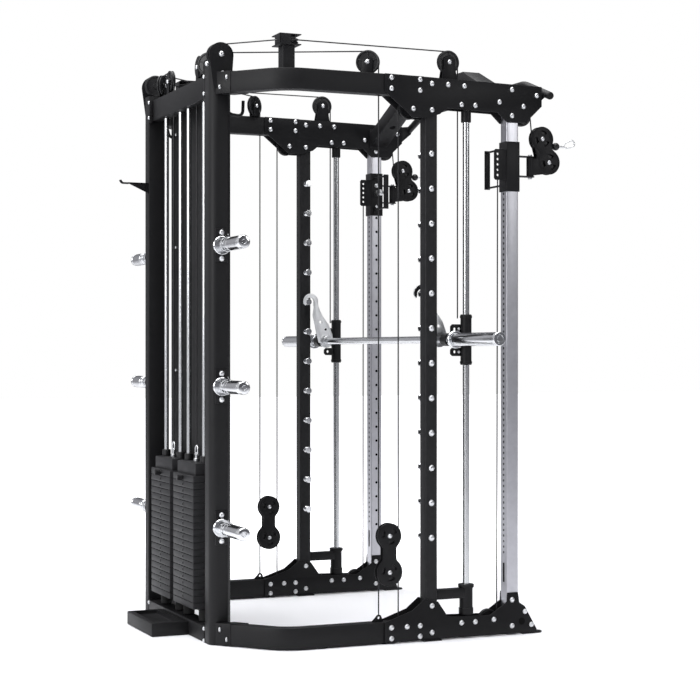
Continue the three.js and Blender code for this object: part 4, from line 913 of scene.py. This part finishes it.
def smith_side(name, side):
    """One end of the smith bar: its bearing on the guide rod, hook, collars and sleeve."""
    body = "smith_carriage"
    z0, z1 = BAR_Z - 95, BAR_Z + 95
    parts = [ring("z", (FRAME_X, ROD), 21, 13.4, z0, z1, 1.2), ring("z", (FRAME_X, ROD), 23, 13.6, z0 + 4, z0 + 14, 1),
             ring("z", (FRAME_X, ROD), 23, 13.6, z1 - 14, z1 - 4, 1),
             block(FRAME_X - 12, FRAME_X + 12, BAR + 20, ROD - 18, BAR_Z - 22, BAR_Z + 22, 2)]
    make(f"{name}_bearing_tube", parts, POWDER, body, side, (f"{name}_carriage",))
    housing = ring("x", (BAR, BAR_Z), 24, 14.9, FRAME_X - 22, FRAME_X + 22, 1.2)
    make(f"{name}_bar_housing", [housing], POWDER, body, side)
    lugs = []
    for low, high in ((BAR_Z - 62, BAR_Z - 30), (BAR_Z + 20, BAR_Z + 58)):
        lugs.append(plate([(BAR + 16, low + 8), (BAR + 24, low), (ROD - 19, low), (ROD - 19, high), (BAR + 24, high),
                           (BAR + 16, high - 8)], LINE_X - 4, LINE_X + 4, 1))
    ears = make(f"{name}_carriage_lugs", lugs, POWDER, body, side)
    cut(ears, [rod("x", (BAR + 33, BAR_Z + dz), 6, LINE_X - 20, LINE_X + 20, 0.1, 20) for dz in (-46, 40)], side)
    lug_bolts = [dome("x", (BAR + 50, BAR_Z + dz), LINE_X + 4, 6, 4.5) for dz in (-46, 40)]
    make(f"{name}_lug_bolts", lug_bolts, ZINC, body, side)
    x1 = PEG_END - 1.5
    x0 = x1 - 8
    peg = REST_PEG
    outline = [(44, BAR_Z - 8), (112, BAR_Z - 8), (107, BAR_Z + 31), (92, BAR_Z + 70), (59, BAR_Z + 114)]
    outline.append((42, BAR_Z + 152))
    crown = arc((6, peg + 2), 34, -10, 195, 22) + [(-18, peg - 16)] + arc((3, peg + 1), 18, 190, 5, 16)
    outline += crown + [(21, peg - 24), (16, BAR_Z + 114), (26, BAR_Z + 70), (34, BAR_Z + 31)]
    hook = make(f"{name}_hook_plate", [plate(outline, x0, x1, 1.2)], NICKEL, "smith_bar", side, (f"{name}_hook",))
    holes = [rod("x", (reach, BAR_Z + dz), 6.5, x0 - 20, x1 + 20, 0.1, 24) for reach, dz in ((76, 52), (52, 84))]
    holes.append(rod("x", (BAR, BAR_Z), 14.4, x0 - 20, x1 + 20, 0.1, 36))
    cut(hook, holes, side)
    collar = [ring("x", (BAR, BAR_Z), 29, 14.2, x0 - 0.4, x1 + 0.4, 1),
              ring("x", (BAR, BAR_Z), 22, 14.2, x0 - 16, x0, 1)]
    make(f"{name}_hook_collar", collar, SATIN, "smith_bar", side)
    # A thin black sheet on the crown's outer face: painted shade, standing in for the dark look of the plated hook's
    # face.
    shade_sheet = plate(crown + [(21, peg - 20), (38, peg - 14)], x1 + 0.1, x1 + 1.1, 0.3)
    make(f"{name}_hook_shade_sheet", [shade_sheet], NYLON, "smith_bar", side)
    screw = [dome("z", (x0 - 8, BAR), BAR_Z + 22, 4, 3)]
    make(f"{name}_hook_screw", screw, ZINC, "smith_bar", side)
    collars = [rod("x", (BAR, BAR_Z), 20, FRAME_X + 26, FRAME_X + 40, 1),
               rod("x", (BAR, BAR_Z), 33, 684, 698, 2.5, 48), rod("x", (BAR, BAR_Z), 26, 672, 685, 1.5)]
    make(f"{name}_bar_collars", collars, CHROME_BAR, "smith_bar", side)
    sleeve = lathe("x", (BAR, BAR_Z), [
        (700, 14.6), (700, 23.5), (701, 24.5), (1024, 24.5), (1025, 23.2), (1028, 23.2), (1029, 24.5), (1035, 24.5),
        (1037, 22.5), (1037, 16), (1034, 15), (1034, 10), (1036, 9), (1036, 0)], 56)
    make(f"{name}_plate_sleeve", [sleeve], CHROME_BAR, f"{name}_sleeve", side, (f"{name}_sleeve",))


def smith_bar():
    shaft = rod("x", (BAR, BAR_Z), BAR_RADIUS, -1031, 1031, 1, 48)
    make("smith_bar_shaft", [shaft], CHROME_BAR, "smith_bar", 1, ("bar_shaft",))


# ---- cable trolley ---------------------------------------------------------------------


def trolley(name, side):
    """The trolley on a cable column, with its plate of holes, handle and swivel mount."""
    body = f"{name}_trolley"
    half = TUBE / 2 + 5
    low, high = TROLLEY_LOW, TROLLEY_HIGH
    front, rear, inside = COLUMN + half, COLUMN - half, FRAME_X - half
    box = plan(rounded_square(FRAME_X, COLUMN, 2 * half, 5), low, high, 1.2)
    shell = make(f"{name}_trolley_shell", [box], POWDER, body, side, (f"{name}_trolley",))
    cut(shell, [block(FRAME_X - 26, FRAME_X + 26, COLUMN - 26, COLUMN + 26, low - 5, high + 5, 0)], side)
    ladder_x = inside if side == 1 else FRAME_X + half - PLATE
    bottom, top = LADDER
    outline = [(rear - 51, bottom + 6), (rear - 45, bottom), (rear + 1, bottom)]
    outline += [(rear + 1, top), (rear - 45, top), (rear - 51, top - 6)]
    ladder = make(f"{name}_trolley_ladder", [plate(outline, ladder_x, ladder_x + PLATE, 1)], POWDER, body, side)
    cut(ladder, [rod("x", (rear - 36, (bottom + top) / 2 + 20 * i), 4.8, ladder_x - 9, ladder_x + 15, 0.1, 24)
                 for i in range(-2, 3)], side)
    clevis = []
    for z in (SWIVEL_LOW - 4, SWIVEL_HIGH):
        ear = [(FRAME_X - 17, front - 1), (FRAME_X - 17, SWIVEL)] + arc((FRAME_X, SWIVEL), 17, 180, 0, 14)[1:-1]
        clevis.append(plan(ear + [(FRAME_X + 17, SWIVEL), (FRAME_X + 17, front - 1)], z, z + 4, 0.8))
    make(f"{name}_swivel_clevis", clevis, POWDER, body, side)
    nuts = [rod("z", (FRAME_X, SWIVEL), 8, SWIVEL_HIGH + 4, SWIVEL_HIGH + 11, 1.5, 6),
            rod("z", (FRAME_X, SWIVEL), 8, SWIVEL_LOW - 4, SWIVEL_LOW - 11, 1.5, 6)]
    make(f"{name}_swivel_nuts", nuts, ZINC, body, side, crease=20)
    grip_x = inside - 128
    handle = [block(grip_x, grip_x + 6, COLUMN - 24, COLUMN - 1, HANDLE[0] - 6, HANDLE[1] + 6, 1.2)]
    handle += [rod("x", (COLUMN - 12, z), 4, grip_x + 3, inside + 1, 0.3, 20) for z in HANDLE]
    make(f"{name}_trolley_handle", handle, POWDER, body, side)
    make(f"{name}_pin_barrel", [ring("x", (COLUMN, PIN_Z), 12, 5.4, inside + 1, inside - 22, 1.2)], SATIN, body, side)
    heads = [dome("x", (COLUMN - 2, PIN_Z + 35), inside, 9.5, 8, out=-1),
             dome("x", (COLUMN - 2, PIN_Z - 60), inside, 6, 4, out=-1)]
    make(f"{name}_trolley_bolts", heads, ZINC, body, side)
    clamp = [block(inside - 9, inside - 0.2, rear + 12, front - 14, low + 3, low + 24, 1.5)]
    make(f"{name}_trolley_clamp", clamp, POWDER, body, side)
    knob = lathe("x", (COLUMN, PIN_Z), [(inside - 22.6, 0), (inside - 22.6, 9), (inside - 25, 13), (inside - 30, 14),
                                        (inside - 40, 14), (inside - 44, 12.5), (inside - 46, 9), (inside - 46, 0)], 32)
    pin = [knob, rod("x", (COLUMN, PIN_Z), 4.8, inside + 4, inside - 24, 0.4, 20)]
    make(f"{name}_pop_pin_knob", pin, SATIN, f"{name}_pop_pin", side, (f"{name}_pop_pin",))


# ---- swivel head -----------------------------------------------------------------------


def swivel_head(name, side):
    """The pair of pulleys that swings on the trolley."""
    body = f"{name}_head"
    tube = rod("z", (FRAME_X, SWIVEL), 14, SWIVEL_LOW + 0.4, SWIVEL_HIGH - 0.4, 1)
    make(f"{name}_swivel_tube", [tube], POWDER, body, side, (f"{name}_swivel_head",))
    slots = [(turn, centre) for centre in (HEAD_UP, HEAD_LOW) for turn in (75, 195, 315)]
    clear = SWIVEL + 23
    web = [(SWIVEL, SWIVEL_LOW + 3), (HEAD_LOW[0] - 16, HEAD_LOW[1] - 45), (HEAD_LOW[0] - 12, HEAD_LOW[1] + 12),
           (HEAD_UP[0] - 36, HEAD_UP[1] - 26), (clear, SWIVEL_HIGH + 8), (clear, SWIVEL_HIGH - 4)]
    web.append((SWIVEL, SWIVEL_HIGH - 4))
    for face, way in (("outer", 1), ("inner", -1)):
        near = FRAME_X + way * CHEEK
        outline = waisted(HEAD_LOW, HEAD_UP, 47, 47, 30)
        cheek = make(f"{name}_head_{face}_cheek", [cheek_plate(outline, near, way)], POWDER, body, side)
        cut(cheek, [kidney(turn, centre, FRAME_X) for turn, centre in slots], side)
        thin = cheek_plate(web, near + way * 0.4, way, CHEEK_PLATE - 0.8, 0.8)
        wing = make(f"{name}_head_{face}_web", [thin], POWDER, body, side)
        cut(wing, [kidney(turn, centre, FRAME_X) for turn, centre in slots], side)
    wheels, bolts = [], []
    for reach, z in (HEAD_UP, HEAD_LOW):
        wheels += pulley(FRAME_X, reach, z)
        bolts += axle(FRAME_X, reach, z)
    make(f"{name}_head_wheels", wheels, NYLON, body, side)
    make(f"{name}_head_bolts", bolts, ZINC, body, side)


BALL = (HEAD_LOW[0] + 36, (HEAD_UP[1] + HEAD_LOW[1]) / 2 + 19)
BALL_RADIUS = 15
SNAP_RISE = math.radians(20)


def cable_end(name, side):
    """The stop ball and snap hook on the end of a cable."""
    body = f"{name}_cable_end"
    reach, z = BALL
    turns = [math.radians(a) for a in range(180, -1, -12)]
    ball = lathe("r", (FRAME_X, z), [(reach + BALL_RADIUS * math.cos(a), BALL_RADIUS * math.sin(a)) for a in turns], 28)
    make(f"{name}_ball_stop", [ball], NYLON, body, side, (f"{name}_cable_end",))
    outline = [(2, 0), (14, 11), (48, 13), (56, 0), (48, -12), (14, -10), (2, 0)]
    loop = [(FRAME_X, reach + 32 + a * math.cos(SNAP_RISE) - b * math.sin(SNAP_RISE),
             z + a * math.sin(SNAP_RISE) + b * math.cos(SNAP_RISE)) for a, b in outline]
    snap = [pipe(rounded_path(loop, 11, 6), 3, 14), rod("r", (FRAME_X, z), 4, reach + 12, reach + 35, 0.5, 18)]
    make(f"{name}_snap_hook", snap, SATIN, body, side)


# ---- travelling block ------------------------------------------------------------------


def travelling_block(name, side):
    """The pair of pulleys that hangs between the stack's cable and the trolley's."""
    body = f"{name}_block"
    outline = waisted((BLOCK, BLOCK_LOW), (BLOCK, BLOCK_UP), 51, 47, 27)
    cheeks = [cheek_plate(outline, FRAME_X + way * CHEEK, way) for way in (-1, 1)]
    plates = make(f"{name}_block_plates", cheeks, POWDER, body, side, (f"{name}_travelling_block",))
    cut(plates, [kidney(turn, (BLOCK, z), FRAME_X) for z in (BLOCK_UP, BLOCK_LOW) for turn in (45, 165, 285)], side)
    bolts = axle(FRAME_X, BLOCK, BLOCK_UP) + axle(FRAME_X, BLOCK, BLOCK_LOW)
    make(f"{name}_block_bolts", bolts, ZINC, body, side)
    make(f"{name}_lower_block_wheel", pulley(FRAME_X, BLOCK, BLOCK_LOW), NYLON, body, side)
    make(f"{name}_upper_block_wheel", pulley(FRAME_X, BLOCK, BLOCK_UP), NYLON, f"{name}_block_pulley", side,
         (f"{name}_block_pulley",))


# ---- cables ----------------------------------------------------------------------------


def round_wheel(x, centre, start, end, steps=12):
    return [(x, r, z) for r, z in arc(centre, TURN, start, end, steps)]


def strand(name, points, side, body=None, stretch=None, stands_for=()):
    """A length of cable. It rides on one body; when given the two bodies it runs between, from its first point to its
    last, it rides on none and its placing is baked in.
    """
    piece = make(name, [pipe(points, CABLE, 12)], JACKET, body, side, stands_for)
    if stretch:
        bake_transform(piece)
    return piece


def long_strand(start, end, steps=24):
    """A straight run, with rings along it so that it can stretch."""
    a, b = Vector(start), Vector(end)
    return [tuple(a.lerp(b, i / steps)) for i in range(steps + 1)]


def cables(name, side):
    """Every run of one side's cables, from the stack to the trolley and from the tower to the carriage."""
    ladder_x = INNER - 2.5 if side == 1 else OUTER + 2.5
    block_body, head, trolley_body = f"{name}_block", f"{name}_head", f"{name}_trolley"
    fall, rise, down = BLOCK - TURN, BLOCK + TURN, BACK_PULLEY - TURN
    back, front = (BACK_PULLEY, TOP_LINE - TURN), (DROP - TURN, TOP_LINE - TURN)
    foot, riser = (BACK_PULLEY, BOTTOM_LINE + TURN), (RISER - TURN, BOTTOM_LINE + TURN)
    aim = (math.sin(RAIL_PULLEY_TURN), math.cos(RAIL_PULLEY_TURN))
    centre = (FRAME_X - TURN * aim[0], fall - TURN * aim[1])
    over_rail = [(centre[0] + r * aim[0], centre[1] + r * aim[1], z)
                 for r, z in arc((0, RAIL_PULLEY_Z), TURN, 90, 0, 12)]
    over_lift = [(x, TOWER, z) for x, z in arc((LIFT_X, LIFT_Z), TURN, 180, 90, 10)]
    top = rounded_path([over_lift[-1], (TURN_X, TOWER + 2, LIFT_Z + TURN), over_rail[0]], 40, 6)

    def turned(part, points, body, stands_for=()):
        strand(f"{name}_{part}", points, side, body, stands_for=stands_for)

    def stretched(part, start, end, bodies, steps=24):
        strand(f"{name}_{part}", long_strand(start, end, steps), side, stretch=bodies)

    turned("high_line", over_lift[:-1] + [tuple(p) for p in top] + over_rail[1:], "frame", (f"{name}_high_cable",))
    stretched("stack_riser", (STACK_X, TOWER, CROWN + 62), (STACK_X, TOWER, LIFT_Z), (f"{name}_lifted_weight", "frame"))
    stretched("block_fall", (FRAME_X, fall, RAIL_PULLEY_Z), (FRAME_X, fall, BLOCK_UP), ("frame", block_body))
    turned("block_turn", round_wheel(FRAME_X, (BLOCK, BLOCK_UP), 180, 360), block_body)
    stretched("block_rise", (FRAME_X, rise, BLOCK_UP), (FRAME_X, down, back[1]), (block_body, "frame"))
    turned("top_line", round_wheel(FRAME_X, back, 180, 90) + round_wheel(FRAME_X, front, 90, 0), "frame")
    stretched("head_drop", (FRAME_X, DROP, front[1]), (FRAME_X, HEAD_UP[0] - TURN, HEAD_UP[1]), ("frame", trolley_body))
    turned("head_turn", round_wheel(FRAME_X, HEAD_UP, 180, 318), head)
    out = arc(HEAD_UP, TURN, 180, 318, 12)[-1]
    stretched("head_lead", (FRAME_X, *out), (FRAME_X, BALL[0] - 10, BALL[1]), (head, f"{name}_cable_end"), 10)
    stretched("low_fall", (FRAME_X, fall, 106), (FRAME_X, fall, BLOCK_LOW), ("frame", block_body), 8)
    turned("low_turn", round_wheel(FRAME_X, (BLOCK, BLOCK_LOW), 180, 0), block_body)
    stretched("low_rise", (FRAME_X, rise, BLOCK_LOW), (FRAME_X, down, foot[1]), (block_body, "frame"), 8)
    turned("bottom_line", round_wheel(FRAME_X, foot, 180, 270) + round_wheel(FRAME_X, riser, 270, 360), "frame",
           (f"{name}_low_cable",))
    stretched("trolley_riser", (FRAME_X, RISER, riser[1]), (ladder_x, COLUMN - TUBE / 2 - 41, LADDER[0] + 2),
              ("frame", trolley_body))
    over_post = [(x, r, POST_LINE) for x, r in arc((POST_X, POST), TURN, -POST_WRAP, 0, 8)]
    start = [(TOWER_X, r, z) for r, z in arc((TOWER, BRIDGE_Z + 4), TURN, 190, 90, 12)]
    turned("carriage_line", start + over_post + round_wheel(LINE_X, (BRIDGE, BRIDGE_Z), 90, 0), "frame",
           (f"{name}_smith_cable",))
    stretched("carriage_drop", (LINE_X, BRIDGE + TURN, BRIDGE_Z), (LINE_X, BRIDGE + TURN, BAR_Z + 80),
              ("frame", "smith_carriage"))


# ---- the machine -----------------------------------------------------------------------
tower()
top_bars()
smith_bar()
for name, side in SIDES.items():
    side_frame(name, side)
    rails(name, side)
    rear_tower(name, side)
    stack(name, side)
    smith_side(name, side)
    trolley(name, side)
    swivel_head(name, side)
    cable_end(name, side)
    travelling_block(name, side)
    cables(name, side)

# ---- studio ----------------------------------------------------------------------------


def pale_floor():
    """A pale floor that fades to white away from the machine."""
    finish = bpy.data.materials.new("pale_floor")
    finish.use_nodes = True
    nodes, link = finish.node_tree.nodes, finish.node_tree.links.new
    shader = nodes["Principled BSDF"]
    shader.inputs["Base Color"].default_value = (0.93, 0.935, 0.96, 1)
    shader.inputs["Roughness"].default_value = 0.7
    shader.inputs["Specular IOR Level"].default_value = 0.1
    shader.inputs["Emission Strength"].default_value = 1.0
    place = nodes.new("ShaderNodeTexCoord")
    away = nodes.new("ShaderNodeVectorMath")
    away.operation = "LENGTH"
    fade = nodes.new("ShaderNodeMapRange")
    fade.inputs["From Min"].default_value = 0.8
    fade.inputs["From Max"].default_value = 3.4
    seen = nodes.new("ShaderNodeLightPath")
    share = nodes.new("ShaderNodeMath")
    share.operation = "MULTIPLY"
    glow = nodes.new("ShaderNodeMix")
    glow.data_type = "RGBA"
    glow.inputs["A"].default_value = (0, 0, 0, 1)
    glow.inputs["B"].default_value = (1, 1, 1, 1)
    link(place.outputs["Object"], away.inputs[0])
    link(away.outputs["Value"], fade.inputs["Value"])
    link(fade.outputs["Result"], share.inputs[0])
    link(seen.outputs["Is Camera Ray"], share.inputs[1])
    link(share.outputs["Value"], glow.inputs["Factor"])
    link(glow.outputs["Result"], shader.inputs["Emission Color"])
    return finish


def surroundings():
    """White where the camera looks, and a studio that darkens towards the front for light and reflections."""
    scene = bpy.context.scene
    world = scene.world or bpy.data.worlds.new("studio")
    scene.world = world
    world.use_nodes = True
    nodes, link = world.node_tree.nodes, world.node_tree.links.new
    place = nodes.new("ShaderNodeTexCoord")
    towards = nodes.new("ShaderNodeVectorMath")
    towards.operation = "DOT_PRODUCT"
    towards.inputs[1].default_value = Vector((0.15, 0.85, 0.5)).normalized()
    walls = nodes.new("ShaderNodeValToRGB")
    dark, light = walls.color_ramp.elements
    dark.position, dark.color = 0.0, (0.10, 0.10, 0.11, 1)
    light.position, light.color = 0.9, (0.72, 0.72, 0.74, 1)
    walls.color_ramp.elements.new(0.35).color = (0.28, 0.28, 0.3, 1)
    seen = nodes.new("ShaderNodeLightPath")
    choose = nodes.new("ShaderNodeMix")
    choose.data_type = "RGBA"
    choose.inputs["B"].default_value = (1, 1, 1, 1)
    link(place.outputs["Generated"], towards.inputs[0])
    link(towards.outputs["Value"], walls.inputs["Fac"])
    link(walls.outputs["Color"], choose.inputs["A"])
    link(seen.outputs["Is Camera Ray"], choose.inputs["Factor"])
    link(choose.outputs["Result"], nodes["Background"].inputs["Color"])
    nodes["Background"].inputs["Strength"].default_value = 1.0


# name: place, what it faces, width in metres, power in watts
SOFTBOXES = {
    "top_softbox": ((0.0, 0.6, 6.0), (0, 0, 0), 6.0, 560),
    "back_softbox": ((-2.2, 5.2, 2.6), (0, 0.4, 1.0), 2.4, 120),
    "front_softbox": ((-5.5, -3.2, 3.2), (0, -0.4, 1.0), 1.6, 40),
}


def studio():
    bpy.ops.mesh.primitive_plane_add(size=60, location=(0, 0, 0))
    floor = bpy.context.object
    floor.name = "studio_floor"
    floor.data.materials.append(pale_floor())
    surroundings()
    scene = bpy.context.scene
    scene.view_settings.view_transform = "Standard"
    for label, (spot, aim, width, power) in SOFTBOXES.items():
        light = bpy.data.lights.new(label, "AREA")
        light.size = width
        light.energy = power
        lamp = bpy.data.objects.new(label, light)
        lamp.location = spot
        lamp.rotation_euler = (Vector(aim) - Vector(spot)).to_track_quat("-Z", "Y").to_euler()
        scene.collection.objects.link(lamp)


def camera():
    lens = bpy.data.cameras.new("camera")
    lens.lens = 86.2
    lens.sensor_width = 36
    eye = bpy.data.objects.new("camera", lens)
    heading = math.radians(23.42)
    eye.location = ((-FRAME_X - 30 - 5597) * MM, MAIN_Y + 2757 * MM, 1.082)
    view = Vector((math.cos(heading), -math.sin(heading), 0))
    eye.rotation_euler = view.to_track_quat("-Z", "Y").to_euler()
    bpy.context.scene.collection.objects.link(eye)
    bpy.context.scene.camera = eye


studio()
camera()
